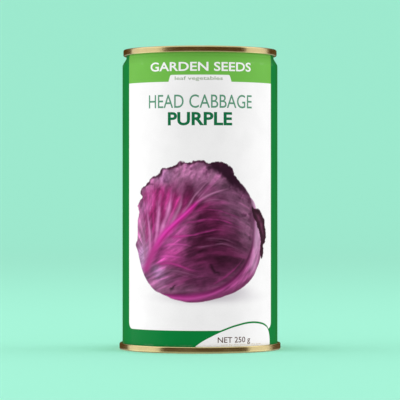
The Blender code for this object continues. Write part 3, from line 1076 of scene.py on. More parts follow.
# Ribs and veins: points, half width at the base in mm, ink, strength, where it fades and its strands.
RIBS = [
    ([(-27.4, 43.0), (-28.6, 50.0), (-29.6, 57.0), (-30.2, 65.0)], 0.9, MAUVE, 0.6, 0.9, 4),
    ([(-24.6, 45.0), (-24.8, 52.0), (-25.6, 60.0), (-26.6, 67.0)], 1.2, PALE_PINK, 0.85, 0.85, 3),
    ([(-22.4, 48.0), (-21.0, 56.0), (-20.2, 63.0), (-19.6, 70.0), (-18.8, 77.0)], 1.4,
     PALE_PINK, 0.95, 0.75, 3),
    ([(-20.4, 51.6), (-17.6, 59.0), (-15.2, 66.0), (-13.8, 72.0), (-12.6, 79.0)], 1.3,
     PALE_PINK, 0.9, 0.85, 3),
    ([(-16.0, 56.6), (-11.8, 63.0), (-9.4, 68.0), (-8.4, 73.0), (-7.6, 79.0)], 0.9, MAUVE, 0.7, 0.75, 4),
    ([(-9.0, 63.4), (-5.4, 68.6), (-2.0, 73.6), (3.0, 79.0), (8.0, 84.0)], 0.7, MAUVE, 0.7, 0.9, 5),
    ([(-3.0, 68.6), (1.0, 73.6), (6.6, 78.6), (12.0, 82.0)], 0.5, MAUVE, 0.5, 0.9, 4),
    ([(-19.0, 49.2), (-14.0, 50.8), (-8.0, 50.8), (-2.0, 49.4)], 0.8, ROSE, 0.7, 0.8, 3),
    ([(-3.0, 49.4), (4.0, 50.0), (11.0, 51.0), (18.0, 48.8), (23.0, 46.2)], 0.5, MAUVE, 0.3, 0.9, 6),
    ([(-21.0, 45.2), (-15.0, 45.4), (-9.0, 44.8), (-3.0, 43.6)], 0.7, ROSE, 0.65, 0.8, 3),
    ([(-21.0, 41.8), (-14.0, 42.0), (-8.0, 40.4), (-2.0, 38.6), (5.0, 38.8)], 0.7, FLUSH, 0.7, 0.8, 5),
    ([(-18.0, 38.6), (-11.0, 38.6), (-4.0, 37.0), (3.0, 35.4)], 0.5, MAUVE, 0.4, 0.8, 6),
    ([(-16.0, 54.0), (-10.0, 54.6), (-4.0, 55.0), (3.0, 56.6), (9.0, 57.4), (17.0, 55.0)],
     0.6, FLUSH, 0.7, 0.9, 3),
    ([(2.0, 53.4), (8.0, 53.4), (14.0, 52.4), (20.0, 49.6)], 0.5, MAUVE, 0.3, 0.9, 5),
    ([(-8.0, 60.6), (-3.0, 61.2), (3.0, 62.2), (10.0, 61.8), (17.0, 59.4), (24.0, 57.2)],
     0.6, FLUSH, 0.6, 0.9, 4),
    ([(-4.6, 65.4), (1.0, 66.6), (8.0, 66.4), (16.0, 64.0), (24.0, 62.0)], 0.5, FLUSH, 0.35, 0.9, 5),
    ([(-2.0, 68.6), (3.0, 70.8), (9.0, 71.2), (16.0, 69.4), (23.0, 66.4)], 0.5, MAUVE, 0.3, 0.8, 6),
    ([(6.0, 32.6), (12.0, 36.0), (18.0, 41.0), (23.0, 47.0)], 0.6, FLUSH, 0.4, 0.9, 5),
]
CREASES = [
    ([(-14.6, 30.0), (-12.8, 30.4), (-12.2, 31.8), (-10.2, 32.4)], 0.9, 0.5),
    ([(4.0, 42.0), (5.4, 41.0), (6.6, 38.4), (8.4, 37.6), (8.8, 35.6)], 0.9, 0.42),
]


def ridge(points, width, fade, x, y):
    """A vein's rounded ridge, from 0 to 1, narrowing and fading to its tip."""
    off, along, _ = nearest(flow(points, 26), x, y)
    half = width * (1.0 - 0.6 * along)
    fading = step_between(1.0, fade - 0.25, along)
    return np.exp(-((off / half) ** 2)) * fading * step_between(-0.03, 0.16, along)


def hump(value, middle, half):
    """A smooth hump, 1 at its middle."""
    return np.exp(-(((value - middle) / half) ** 2))


def oval(x, y, middle, halves):
    """A soft oval spot, 1 at its middle."""
    return np.exp(-(((x - middle[0]) / halves[0]) ** 2 + ((y - middle[1]) / halves[1]) ** 2) * 1.2)


def plain(shape, ink):
    """One ink all over."""
    return np.ones(shape) * ink


def wash_leaf(x, y, warp_x, warp_y):
    """The front leaf's broad washes, with ragged edges."""
    body = plain(x.shape + (3,), MAUVE)
    rough_x, rough_y = x + 2.6 * (warp_x - x), y + 2.6 * (warp_y - y)
    for ink, middle, halves, strength in WASHES:
        body = blend(body, ink, strength * np.minimum(1.0, 1.5 * oval(rough_x, rough_y, middle, halves)))
    return body


def streak_leaf(body, x, y, warp_x, warp_y, from_midrib):
    """Streaks that fan up from the stalk on the left of the midrib, and arc away from it on the right."""
    fan_x, fan_y = FAN_FOOT
    fan = np.arctan2(fan_x - x, y - fan_y)
    reach = np.hypot(y - fan_y, x - fan_x)
    left_streaks = cloudy(fan * 42.0, reach * 0.16, 2.4, 83, 4) * step_between(1.0, 14.0, reach)
    bend = (0.36 * x - 0.020 * x * x) * (0.40 + 0.60 * np.clip((y - 34.0) / 20.0, 0, 1))
    right_streaks = cloudy(x * 0.20, (y - bend) * 1.25, 2.2, 87, 4)
    on_left = step_between(-0.8, 0.8, from_midrib)
    streaks = right_streaks * (1 - on_left) + left_streaks * on_left
    blocks = cloudy(warp_x * 0.8, (warp_y - bend) * 1.5, 3.6, 101, 3)
    body = body * (1 + 0.34 * streaks + 0.26 * blocks)[..., None]
    return blend(body, body * (1.10, 1.0, 1.08) + 0.03, 0.7 * step_between(0.10, 0.60, streaks))


def vein_leaf(body, x, y, warp_x, warp_y, leaf):
    """A fine net of veins over puffed skin, strongest near the ruffled edge."""
    net = 1.0 - np.abs(cloudy(warp_x, warp_y, 2.0, 61, 2)) * 3.2
    margin = step_between(13.0, 2.0, leaf) * step_between(50.0, 66.0, y + 0.3 * x)
    body = blend(body, body * 1.16 + 0.02, 0.55 * np.clip(net, 0, 1) * (0.35 + 0.65 * margin))
    puffs = step_between(0.05, 0.6, cloudy(warp_x, warp_y, 2.8, 67, 3))
    return blend(body, body * (0.60, 0.48, 0.58), 0.75 * puffs * margin)


def drifted(points, drift):
    """A rib's points, moved further aside the nearer they are to its tip."""
    steps = np.arange(1, len(points) + 1)[:, None]
    return np.array(points) + drift * steps / len(points)


def rib_leaf(body, x, y, warp_x, warp_y):
    """The ribs with their fine strands, shaded on the right and lit along the crest, and then the creases."""
    near_x, near_y = x + 0.3 * (warp_x - x), y + 0.3 * (warp_y - y)
    broken = 0.85 + 0.7 * cloudy(x, y, 3.2, 141, 2)
    dice = np.random.default_rng(19)
    for points, width, ink, strength, fade, strands in RIBS:
        for _ in range(strands):
            strand = ridge(drifted(points, dice.uniform(-2.4, 2.4, 2)), 0.45 * width, fade, near_x, near_y)
            body = blend(body, ink, 0.34 * strength * broken * strand)
        bump = ridge(points, width, fade, near_x, near_y)
        shade = ridge(points, width * 1.9, fade, x - 0.7 * width, y + 0.2 * width)
        body = body * (1 - 0.22 * strength * shade)[..., None]
        body = blend(body, ink, strength * broken * bump)
        crest = np.clip(bump - 0.6, 0, 1) / 0.4
        body = blend(body, np.minimum(ink * 1.08 + 0.02, 1.0), 0.35 * strength * crest)
    for points, width, strength in CREASES:
        body = body * (1 - strength * ridge(points, width, 0.9, warp_x, warp_y))[..., None]
    return body


def midrib_leaf(body, from_midrib, along):
    """The thick midrib: magenta, paler to its tip, with a shadow and a groove on one side."""
    half = 0.35 + 2.0 * (1 - along) ** 1.3
    ink = blend(plain(body.shape, FLUSH), MAGENTA, step_between(0.10, 0.34, along))
    ink = blend(ink, MAUVE, step_between(0.62, 0.80, along))
    shadow = 0.34 * hump(from_midrib, -1.5 * half, half) * (1 - 0.6 * along)
    body = body * (1 - shadow)[..., None]
    body = blend(body, ink, 0.95 * hump(from_midrib, 0.0, half) * step_between(1.0, 0.9, along))
    lit = hump(from_midrib, 0.25 * half, 0.38 * half)
    low = step_between(0.12, 0.3, along) * step_between(0.75, 0.5, along)
    high = step_between(0.62, 0.75, along) * step_between(1.0, 0.85, along)
    body = blend(body, tint(226, 92, 186), 0.6 * lit * low)
    body = blend(body, tint(196, 128, 172), 0.6 * lit * high)
    groove = hump(from_midrib, -0.45 * half, 0.22 * half)
    return blend(body, WINE, 0.45 * groove * step_between(0.15, 0.3, along) * step_between(0.8, 0.6, along))


def paint_front_leaf(x, y, warp_x, warp_y, leaf):
    """Inks of the front leaf, whose edge is that far off."""
    off, along, side = nearest(flow(MIDRIB, 90), x, y)
    body = wash_leaf(x, y, warp_x, warp_y)
    body = streak_leaf(body, x, y, warp_x, warp_y, off * side)
    body = vein_leaf(body, x, y, warp_x, warp_y, leaf)
    body = rib_leaf(body, x, y, warp_x, warp_y)
    return midrib_leaf(body, off * side, along)


def round_off(body, x, y):
    """Light from the upper left over the round head, and a little more colour."""
    dx, dy = (x + 6.0) / 36.0, (y - 60.0) / 36.0
    body = body * (1.03 - 0.18 * (dx * dx + dy * dy) - 0.04 * dx + 0.05 * dy)[..., None]
    grey = body.mean(axis=2, keepdims=True)
    return grey + 1.16 * (body - grey)


def fringe_leaf(body, x, y, warp_x, warp_y, leaf, frill):
    """Dark hood at the top right, dark frills round the edge, and a dark line where the leaf tucks in."""
    hood, along, _ = nearest(flow(HOOD, 60), x, y)
    wide = 3.9 - 2.6 * along + 1.6 * cloudy(warp_x, warp_y, 3.0, 111, 3)
    shade = step_between(wide + 2.2, wide - 1.8, hood + 1.2 * cloudy(x, y, 2.0, 113, 3))
    body = blend(body, FRINGE, (0.95 - 0.45 * step_between(0.55, 1.0, along)) * shade)
    trail = step_between(2.4, 0.2, leaf + 0.8 * frill) * step_between(74.0, 66.0, y)
    trail = trail * step_between(52.0, 60.0, y)
    body = blend(body, tint(92, 46, 76), 0.6 * trail * step_between(16.0, 22.0, x))
    nick = step_between(1.7, 0.1, leaf + 1.5 * cloudy(x, y, 2.4, 131, 2))
    nick = nick * step_between(60.0, 72.0, y + 0.25 * x)
    body = blend(body, tint(66, 28, 50), 0.85 * nick * step_between(18.0, 10.0, x))
    body = blend(body, tint(110, 62, 96), 0.8 * oval(x, y, (-34.0, 50.2), (1.5, 1.7)))
    tuck = step_between(1.3, 0.0, leaf) * step_between(52.0, 40.0, y) * step_between(-20.0, -12.0, x)
    return blend(body, tint(104, 36, 78), 0.6 * tuck)


def paint_torn_leaf(x, y, torn):
    """Inks of the torn outer leaf behind on the right, whose edge is that far off."""
    leaf = blend(plain(x.shape + (3,), tint(54, 18, 38)), tint(92, 42, 70), step_between(1.2, 2.8, torn))
    return leaf * (1 + 0.3 * cloudy(x, y, 1.8, 41))[..., None]


def paint_wrap_leaf(x, y, wrap):
    """Inks of the leaf that wraps the base and the right side, with its own thick rib along the bottom."""
    rim, along, side = nearest(flow(BASE_RIB, 100), x, y)
    outer = rim * (1 - 2 * (side > 0))
    shape = x.shape + (3,)
    flesh = blend(plain(shape, tint(158, 72, 130)), tint(192, 140, 178), step_between(0.45, 0.85, along))
    flesh = flesh * (1.0 + 0.42 * cloudy(along * 30.0, outer * 1.5, 1.6, 51, 3))[..., None]
    underside = step_between(2.8, 0.0, wrap) * step_between(0.1, 0.35, along) * step_between(0.8, 0.6, along)
    flesh = blend(flesh, tint(104, 46, 82), 0.75 * underside)
    rib = blend(plain(shape, tint(202, 52, 156)), tint(110, 36, 84), along * 1.7)
    flesh = blend(flesh, rib, 0.9 * hump(rim, 0.0, 1.7 - 0.7 * along))
    shine = hump(outer, 0.7, 0.5) * step_between(0.7, 0.3, along)
    flesh = blend(flesh, tint(206, 92, 172), 0.5 * shine)
    inner = step_between(-0.4, -2.2, outer) * step_between(0.5, 0.8, along)
    flesh = blend(flesh, tint(120, 60, 96), 0.5 * inner)
    pale = oval(x, y, (29.0, 56.0), (2.6, 10.0)) + 0.8 * oval(x, y, (27.0, 69.5), (2.2, 3.0))
    pale = pale + 0.9 * oval(x, y, (27.6, 40.6), (2.6, 4.6))
    return blend(flesh, tint(206, 160, 196), 0.6 * np.clip(pale, 0, 1))


def paint_cabbage(x, y):
    """Display colours of the printed cabbage and the ink's coverage, at label points in mm."""
    warp_x = x + 0.9 * cloudy(x, y, 5.0, 11)
    warp_y = y + 0.9 * cloudy(x, y, 5.0, 23)
    frill = cloudy(x, y, 1.9, 71, 3)

    # Each leaf's outline, frayed or ruffled, as the distance in from its edge.
    torn = inside(closed_loop(TORN, 120), warp_x + 0.5 * cloudy(x, y, 1.6, 5), warp_y)
    wrap = inside(closed_loop(WRAP, 160), warp_x * 0.35 + x * 0.65, warp_y * 0.35 + y * 0.65)
    ruffle = step_between(46.0, 62.0, y + 0.3 * x) * step_between(23.0, 17.0, x)
    leaf = inside(closed_loop(HEAD, 220), warp_x * 0.3 + x * 0.7, warp_y * 0.3 + y * 0.7)
    leaf = leaf + ruffle * 0.9 * frill

    # A soft shadow on the paper, under the head and away to the right, then the leaves over it.
    ground = oval(x, y, (4.0, 26.4), (21.0, 2.6)) + 0.6 * oval(x, y, (18.0, 29.4), (8.0, 2.4))
    colour = plain(x.shape + (3,), PAPER)
    colour = blend(colour, tint(176, 168, 178), 0.62 * np.clip(ground - 0.03, 0, 1))
    colour = blend(colour, paint_wrap_leaf(x, y, wrap), step_between(-0.15, 0.25, wrap))
    colour = blend(colour, paint_torn_leaf(x, y, torn), step_between(-0.15, 0.25, torn))
    body = round_off(paint_front_leaf(x, y, warp_x, warp_y, leaf), x, y)
    body = fringe_leaf(body, x, y, warp_x, warp_y, leaf, frill)
    under = step_between(-1.8, 0.0, leaf) * step_between(-0.15, 0.25, wrap)
    colour = colour * (1 - 0.30 * under)[..., None]
    colour = blend(colour, body, step_between(-0.12, 0.22, leaf))
    edges = [step_between(-0.4, 0.0, shape) for shape in (leaf, wrap, torn)]
    cover = np.maximum.reduce([*edges, step_between(0.02, 0.05, ground)])
    return np.clip(colour, 0, 1), cover


# ------------------------------------------------------------ pressed pieces

# Pressings in the lid's panel: a pocket round the pull, an island under the rivet, a finger well and a rib.
PRESSED_RADIUS = 0.0268
POCKET_RADIUS = 0.0132
POCKET_ENDS = (-0.0005, 0.0120)
POCKET_DEPTH = 0.00035
ISLAND_RADIUS = 0.0042
WELL_Y = -0.0052
WELL_HALVES = (0.0088, 0.0062)
WELL_DEPTH = 0.0009
RIB_RADIUS = 0.0218
RIB_HALF_WIDTH = 0.0013
RIB_HEIGHT = 0.00032

# The pull's web, its two rolled edges and its tongue.
EDGE_PITCH = 0.0006
NOSE_CORNER = 0.0032
NOSE_HALF_WIDTH = 0.0075
OUTER_ROLL = 0.00116
HOLE_ROLL = 0.00100
WEB_THICKNESS = 0.00036
TONGUE_THICKNESS = 0.0003
TONGUE_CLEARANCE = 0.0003
TONGUE_HOLE_RADIUS = 0.00165
CRISP_ANGLE = 35


def eased(value):
    """Eases from 0 to 1 as the value does."""
    return step_between(0.0, 1.0, value)


def panel_relief(x, y):
    """How far the lid's panel is pressed up, or down where negative, round the ring-pull."""
    run = np.clip(y, *POCKET_ENDS)
    pocket = POCKET_RADIUS - np.hypot(x, y - run)
    island = eased((ISLAND_RADIUS - np.hypot(x, y - RIVET_Y)) / 0.0009)
    height = -POCKET_DEPTH * eased(pocket / 0.0007 + 0.5) * (1 - island)
    well = 1 - np.hypot(x / WELL_HALVES[0], (y - WELL_Y) / WELL_HALVES[1])
    height -= WELL_DEPTH * eased(well / 0.55)
    off_rib = np.abs(np.hypot(x, y) - RIB_RADIUS)
    rib = eased((RIB_HALF_WIDTH - off_rib) / 0.0008) * eased((-pocket - 0.0008) / 0.0022)
    return height + RIB_HEIGHT * rib


def press_panel(mesh):
    """Presses the panel of the lid, both sides alike."""
    points = np.empty(len(mesh.vertices) * 3)
    mesh.vertices.foreach_get("co", points)
    points = points.reshape(-1, 3)
    on_panel = np.hypot(points[:, 0], points[:, 1]) < PRESSED_RADIUS
    points[on_panel, 2] += panel_relief(points[on_panel, 0], points[on_panel, 1])
    mesh.vertices.foreach_set("co", points.ravel())
    mesh.update()


def arc(centre_y, radius, start, end, steps):
    """Points on a circle in the lid's plane, angles in degrees from +X."""
    angles = np.radians(np.linspace(start, end, steps + 1))
    return np.stack([radius * np.cos(angles), centre_y + radius * np.sin(angles)], axis=1)


def finger_hole(wider):
    """The finger hole's edge, made wider by that much."""
    return arc(FINGER_HOLE_Y, FINGER_HOLE_RADIUS + wider, 0, 360, 72)[:-1]


def tab_outline():
    """The ring-pull's edge: round at the finger end, narrower and nearly straight at the nose."""
    right = arc(TAB_NOSE_Y - NOSE_CORNER, NOSE_CORNER, 90, 10, 12) + (NOSE_HALF_WIDTH - NOSE_CORNER, 0)
    heel = arc(TAB_HEEL_Y, TAB_HEEL_RADIUS, 10, -190, 60)
    left = right[::-1] * (-1, 1)
    return np.vstack([right, heel, left])


def slot_outline(clearance):
    """The cut-out round the tongue, drawn in by a clearance."""
    half = SLOT_HALF_WIDTH - clearance
    low, high, corner = SLOT_BACK_Y + clearance, SLOT_FRONT_Y - clearance, SLOT_CORNER
    points = []
    for side, end, start in ((1, 1, 0), (-1, 1, 90), (-1, -1, 180), (1, -1, 270)):
        middle_y = high - corner if end > 0 else low + corner
        points.append(arc(middle_y, corner, start, start + 90, 6) + (side * (half - corner), 0))
    return np.vstack(points)


def inset_loop(loop, distance):
    """A closed clockwise outline drawn in by a distance."""
    before, after = np.roll(loop, 1, axis=0), np.roll(loop, -1, axis=0)
    run = after - before
    run /= np.linalg.norm(run, axis=1)[:, None]
    return loop + np.stack([run[:, 1], -run[:, 0]], axis=1) * distance


def evenly(loop, pitch):
    """A closed outline's points, spaced evenly along it."""
    closed = np.vstack([loop, loop[:1]])
    along = np.r_[0.0, np.cumsum(np.linalg.norm(np.diff(closed, axis=0), axis=1))]
    count = round(along[-1] / pitch)
    stops = np.linspace(0.0, along[-1], count, endpoint=False)
    return np.stack([np.interp(stops, along, closed[:, i]) for i in (0, 1)], axis=1)


def in_sheet(outline, holes, x, y, margin=0.0):
    """Whether each point is inside an outline and outside its holes, by a margin."""
    clear = inside(outline, x, y) > margin
    for hole in holes:
        clear &= inside(hole, x, y) < -margin
    return clear


def filled(outline, holes, pitch):
    """Flat triangles, as points and faces, that fill an outline but not its holes."""
    points, edges = [], []
    for loop in (outline, *holes):
        first = len(points)
        points += [tuple(point) for point in loop]
        edges += [(first + i, first + (i + 1) % len(loop)) for i in range(len(loop))]
    low, high = outline.min(axis=0), outline.max(axis=0)
    x, y = np.meshgrid(np.arange(low[0], high[0], pitch), np.arange(low[1], high[1], pitch))
    clear = in_sheet(outline, holes, x, y, pitch * 0.4)
    points += list(zip(x[clear], y[clear]))
    corners, _, faces, _, _, _ = delaunay_2d_cdt([Vector(point) for point in points], edges, [], 0, 1e-7)
    flat, faces = np.array([tuple(corner) for corner in corners]), np.array(faces)
    centres = flat[faces].mean(axis=1)
    return flat, faces[in_sheet(outline, holes, centres[:, 0], centres[:, 1])]


def pressed_plate(name, outline, holes, top, bottom, pitch, finish):
    """A closed plate from its outline and holes, with top and bottom heights given for any place on it."""
    flat, faces = filled(outline, holes, pitch)
    sides = np.vstack([faces[:, [0, 1]], faces[:, [1, 2]], faces[:, [2, 0]]])
    known = {tuple(side) for side in sides.tolist()}
    rim = [(a, b) for a, b in known if (b, a) not in known]
    count = len(flat)
    upper = np.column_stack([flat, top(flat[:, 0], flat[:, 1])])
    lower = np.column_stack([flat, bottom(flat[:, 0], flat[:, 1])])
    skin = faces.tolist() + (faces[:, ::-1] + count).tolist()
    skin += [(b, a, a + count, b + count) for a, b in rim]
    mesh = bpy.data.meshes.new(name)
    mesh.from_pydata(np.vstack([upper, lower]).tolist(), [], skin)
    mesh.materials.append(finish)
    shell = bmesh.new()
    shell.from_mesh(mesh)
    drop_loose(shell)
    shell.to_mesh(mesh)
    shell.free()
    face_outwards(mesh)
    soften(mesh, CRISP_ANGLE)
    return placed(name, mesh)


def make_rolled_edge():
    """Sheet edge curled into a round rim along a closed path in the lid's plane."""
    tree, given = new_group(
        "GeometryNodeTree", "rolled_edge",
        [("Path", GEOMETRY, None), ("Width", FLOAT, 0.0011), ("Height", FLOAT, 0.001),
         ("Sides", INTEGER, 16), ("Finish", MATERIAL, None)],
        [("Shape", GEOMETRY)],
    )
    run = result(tree, "GeometryNodeMeshToCurve", {0: given["Path"]})
    upright = result(tree, "GeometryNodeSetCurveNormal", {0: run}, mode="Z_UP")
    ring = result(tree, "GeometryNodeCurvePrimitiveCircle", {"Resolution": given["Sides"], "Radius": 0.5})
    size = result(tree, "ShaderNodeCombineXYZ", {"X": given["Width"], "Y": given["Height"], "Z": 1.0})
    section = result(tree, "GeometryNodeTransform", {"Geometry": ring, "Scale": size})
    rolled = result(tree, "GeometryNodeCurveToMesh", {"Curve": upright, "Profile Curve": section})
    return close_shape(tree, rolled, given["Finish"])


def rolled_edge(name, loop, height, width, thickness, finish):
    """A rim along a closed outline, its middle at a height."""
    mesh = bpy.data.meshes.new(name)
    count = len(loop)
    mesh.from_pydata([(x, y, height) for x, y in loop], [(i, (i + 1) % count) for i in range(count)], [])
    made = grow(name, mesh, TREES["rolled_edge"], Width=width, Height=thickness, Finish=finish)
    face_outwards(made.data)
    return made


def joined(name, pieces):
    """Several closed shells as one piece."""
    shell = bmesh.new()
    for piece in pieces:
        shell.from_mesh(piece.data)
    mesh = bpy.data.meshes.new(name)
    shell.to_mesh(mesh)
    shell.free()
    for finish in pieces[0].data.materials:
        mesh.materials.append(finish)
    for piece in pieces:
        bpy.data.objects.remove(piece)
    return placed(name, mesh)


def ring_pull(finish):
    """The pull's lifting part: a web with its outer edge and its finger hole rolled under."""
    middle = TAB_BOTTOM + TAB_THICKNESS / 2
    edge = evenly(tab_outline(), EDGE_PITCH)

    def web_top(x, y):
        """Height of the web, with a raised shelf at the nose and two dimples beside the tongue."""
        shelf = 0.00016 + 0.00012 * eased((y - 0.0175) / 0.003)
        across = eased((0.0011 - np.abs(np.abs(x) - 0.0052)) / 0.0006)
        along = eased((0.0014 - np.abs(y - 0.0190)) / 0.001)
        return middle + shelf + 0.00018 * (across * along)

    def web_bottom(x, y):
        """Height of the web's underside."""
        return web_top(x, y) - WEB_THICKNESS

    holes = (finger_hole(0.00055), slot_outline(0.0))
    web = pressed_plate("web", inset_loop(edge, 0.00070), holes, web_top, web_bottom, EDGE_PITCH, finish)
    outer, inner = inset_loop(edge, OUTER_ROLL / 2), finger_hole(HOLE_ROLL / 2)
    outer_rim = rolled_edge("outer_rim", outer, middle, OUTER_ROLL, TAB_THICKNESS, finish)
    hole_rim = rolled_edge("hole_rim", inner, middle, HOLE_ROLL, TAB_THICKNESS * 0.9, finish)
    made = joined("ring_pull_plate", [web, outer_rim, hole_rim])
    soften(made.data, 40)
    return made


def tongue(finish):
    """The strip that the rivet holds, rising into the pull's web at the nose."""
    low = LID_TOP + 0.00026
    high = TAB_BOTTOM + TAB_THICKNESS / 2 - 0.00004
    outline = slot_outline(TONGUE_CLEARANCE)
    # The nose end is drawn out, so that it reaches into the web.
    outline[:, 1] = np.where(outline[:, 1] > 0.0262, outline[:, 1] + 0.0009, outline[:, 1])
    outline[:, 1] = np.minimum(outline[:, 1], SLOT_FRONT_Y + 0.0004)

    def bottom(_, y):
        """Height of the strip's underside, low at the rivet and high at the nose."""
        return low + (high - low) * eased((y - 0.0268) / 0.0018)

    def top(_, y):
        """Height of the strip's upper side."""
        return bottom(_, y) + TONGUE_THICKNESS

    hole = arc(RIVET_Y, TONGUE_HOLE_RADIUS, 360, 0, 32)[:-1]
    return pressed_plate("tab_tongue_strip", outline, (hole,), top, bottom, 0.0005, finish)


def rivet(finish):
    """The button that holds the tongue, standing on its island in the panel."""
    top = LID_TOP + 0.00112
    under = top - 0.0003
    outline = rounded([
        (0.0, top - 0.00010, 0.0),
        (0.0010, top - 0.00010, 0.0004),
        (RIVET_SHANK_RADIUS, top, 0.0004),
        (RIVET_HEAD_RADIUS, top, 0.00022),
        (RIVET_HEAD_RADIUS, under, 0.00006),
        (RIVET_SHANK_RADIUS, under, 0.00008),
        (RIVET_SHANK_RADIUS, LID_TOP + 0.00002, 0.00030),
        (0.0021, LID_TOP - 0.00006, 0.0002),
        (0.0021, LID_TOP - 0.00016, 0.0),
        (0.0, LID_TOP - 0.00016, 0.0),
    ])
    made = turned("rivet_button", outline, finish, 64)
    for vert in made.data.vertices:
        vert.co.y += RIVET_Y
    return made


# ----------------------------------------------------------- printed pieces

# Height of the font's capitals, for a font size of 1.
CAP_HEIGHT = 0.682
# In millimetres: the pitch of the cuts that let words bend, and the picture's drop, grid and limits.
INK_STEP = 0.8
PICTURE_RISE = -0.8
PICTURE_PITCH = 0.30
PICTURE_SIDES = (-38.0, 38.0)
PICTURE_ENDS = (19.0, 93.0)


def extent(shell):
    """Lower left and upper right corners of flat shapes."""
    return [[limit(vert.co[i] for vert in shell.verts) for i in (0, 1)] for limit in (min, max)]


def wrap_slab(name, shell, finish):
    """Closes flat inked shapes on the unrolled label into a thin slab, and wraps it round the body.

    Its UV map keeps nearly all of its width for the front, and a strip on the right for the rest.
    """
    unrolled = shell.loops.layers.uv.new("OFBake")
    (left, foot), (right, top) = extent(shell)
    shown = set(bmesh.ops.extrude_face_region(shell, geom=shell.faces[:], use_keep_orig=True)["geom"])
    for face in shell.faces:
        width, start = (0.97, 0.01) if face in shown else (0.01, 0.985)
        for corner in face.loops:
            share_x = (corner.vert.co.x - left) / (right - left)
            share_y = (corner.vert.co.y - foot) / (top - foot)
            corner[unrolled].uv = (start + width * share_x, 0.01 + 0.98 * share_y)
    lifts = np.array([INK_LIFT if vert in shown else -INK_DEPTH for vert in shell.verts])
    flat = np.array([tuple(vert.co) for vert in shell.verts])
    for vert, point in zip(shell.verts, on_can(flat[:, 0], flat[:, 1], lifts)):
        vert.co = point
    mesh = bpy.data.meshes.new(name)
    shell.to_mesh(mesh)
    shell.free()
    mesh.materials.append(finish)
    soften(mesh, CRISP_ANGLE)
    return placed(name, mesh)


def flat_words(words, size, weight):
    """The outlines of some words as flat faces, their foot on the X axis, in a new bmesh."""
    text = bpy.data.curves.new("words", "FONT")
    text.body = words
    text.size = size
    text.offset = weight
    text.resolution_u = 4
    holder = placed("words", text)
    mesh = shown_mesh(holder)
    bpy.data.objects.remove(holder)
    shell = bmesh.new()
    shell.from_mesh(mesh)
    bpy.data.meshes.remove(mesh)
    bmesh.ops.remove_doubles(shell, verts=shell.verts, dist=0.002)
    return shell


def slice_up(shell):
    """Cuts flat shapes across and along, so that they bend with the body."""
    low, high = extent(shell)
    for axis, normal in ((0, (1, 0, 0)), (1, (0, 1, 0))):
        for cut in np.arange(low[axis] + INK_STEP, high[axis], INK_STEP):
            everything = shell.verts[:] + shell.edges[:] + shell.faces[:]
            point = (cut, 0, 0) if axis == 0 else (0, cut, 0)
            bmesh.ops.bisect_plane(shell, geom=everything, dist=0.001, plane_co=point, plane_no=normal)
    bmesh.ops.dissolve_degenerate(shell, edges=shell.edges, dist=0.001)


def lettering(name, lines, finish):
    """Plain printed words. A line has its words, their middle, foot, cap height, width and weight, in mm."""
    page = bpy.data.meshes.new(name)
    whole = bmesh.new()
    for words, middle, foot, cap_height, width, weight in lines:
        shell = flat_words(words, cap_height / CAP_HEIGHT, weight)
        (left, _), (right, _) = extent(shell)
        for vert in shell.verts:
            vert.co.x = middle + ((vert.co.x - left) / (right - left) - 0.5) * width
            vert.co.y += foot
        slice_up(shell)
        shell.to_mesh(page)
        shell.free()
        whole.from_mesh(page)
    return wrap_slab(name, whole, finish)


def printed_picture(finish):
    """The cabbage picture: painted point by point, then wrapped round the front."""
    columns = round((PICTURE_SIDES[1] - PICTURE_SIDES[0]) / PICTURE_PITCH) + 1
    rows = round((PICTURE_ENDS[1] - PICTURE_ENDS[0]) / PICTURE_PITCH) + 1
    x, y = np.meshgrid(np.linspace(*PICTURE_SIDES, columns), np.linspace(*PICTURE_ENDS[::-1], rows))
    display, cover = paint_cabbage(x, y - PICTURE_RISE)
    ink = linear_light(display)
    index = np.arange(rows * columns).reshape(rows, columns)
    corners = [index[1:, :-1], index[1:, 1:], index[:-1, 1:], index[:-1, :-1]]
    inked = np.ones(index[1:, 1:].shape, bool)
    for corner in corners:
        inked &= (cover.ravel() > 0.01)[corner]
    faces = np.stack([corner[inked] for corner in corners], axis=1)
    mesh = bpy.data.meshes.new("picture_flat")
    mesh.from_pydata(np.column_stack([x.ravel(), y.ravel(), 0 * x.ravel()]).tolist(), [], faces.tolist())
    paint = mesh.color_attributes.new("ink", "FLOAT_COLOR", "POINT")
    paint.data.foreach_set("color", np.column_stack([ink.reshape(-1, 3), np.ones(x.size)]).ravel())
    shell = bmesh.new()
    shell.from_mesh(mesh)
    drop_loose(shell)
    bpy.data.meshes.remove(mesh)
    return wrap_slab("cabbage_picture", shell, finish)


# ------------------------------------------------------------------ assembly

TREES = {
    "turned_shell": make_turned_shell(),
    "rolled_edge": make_rolled_edge(),
    "weld_nuggets": make_weld_nuggets(),
    "seed_scatter": make_seed_scatter(),
}
OUTER_WALL = outer_wall()
FINISHES = {
    "print": make_printed_tinplate(),
    "picture": make_picture_ink(),
    "gold": make_gold_lacquer(),
    "tinplate": make_bare_tinplate(),
    "weld": make_weld_steel(),
    "compound": make_seam_compound(),
    "seed": make_seed_coat(),
    "white": make_print_ink("white_print_ink", WHITE_INK),
    "title": make_print_ink("title_print_ink", TITLE_GREEN_INK),
    "light_title": make_print_ink("light_title_print_ink", LIGHT_TITLE_INK),
    "grey": make_print_ink("grey_print_ink", GREY_INK),
    "brown": make_print_ink("brown_print_ink", BROWN_INK),
    "pale": make_print_ink("pale_print_ink", PALE_INK),
}

# The side weld's ends and step, in millimetres up the can, and its lift off the body in metres.
WELD_ENDS = (3.4, 138.0)
WELD_STEP = 0.5
WELD_LIFT = 0.00001
# Gaps from the fill's side to its turned edge, and to the strewn seeds' middles.
FILL_GAP = 0.0003
SEED_GAP = 0.0013


def settle(piece, body, slot, *nodes):
    """Makes a piece ride on its body and stand for its solids, which it hides. The slot is not used."""
    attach(piece, body)
    if nodes:
        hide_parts(*nodes)


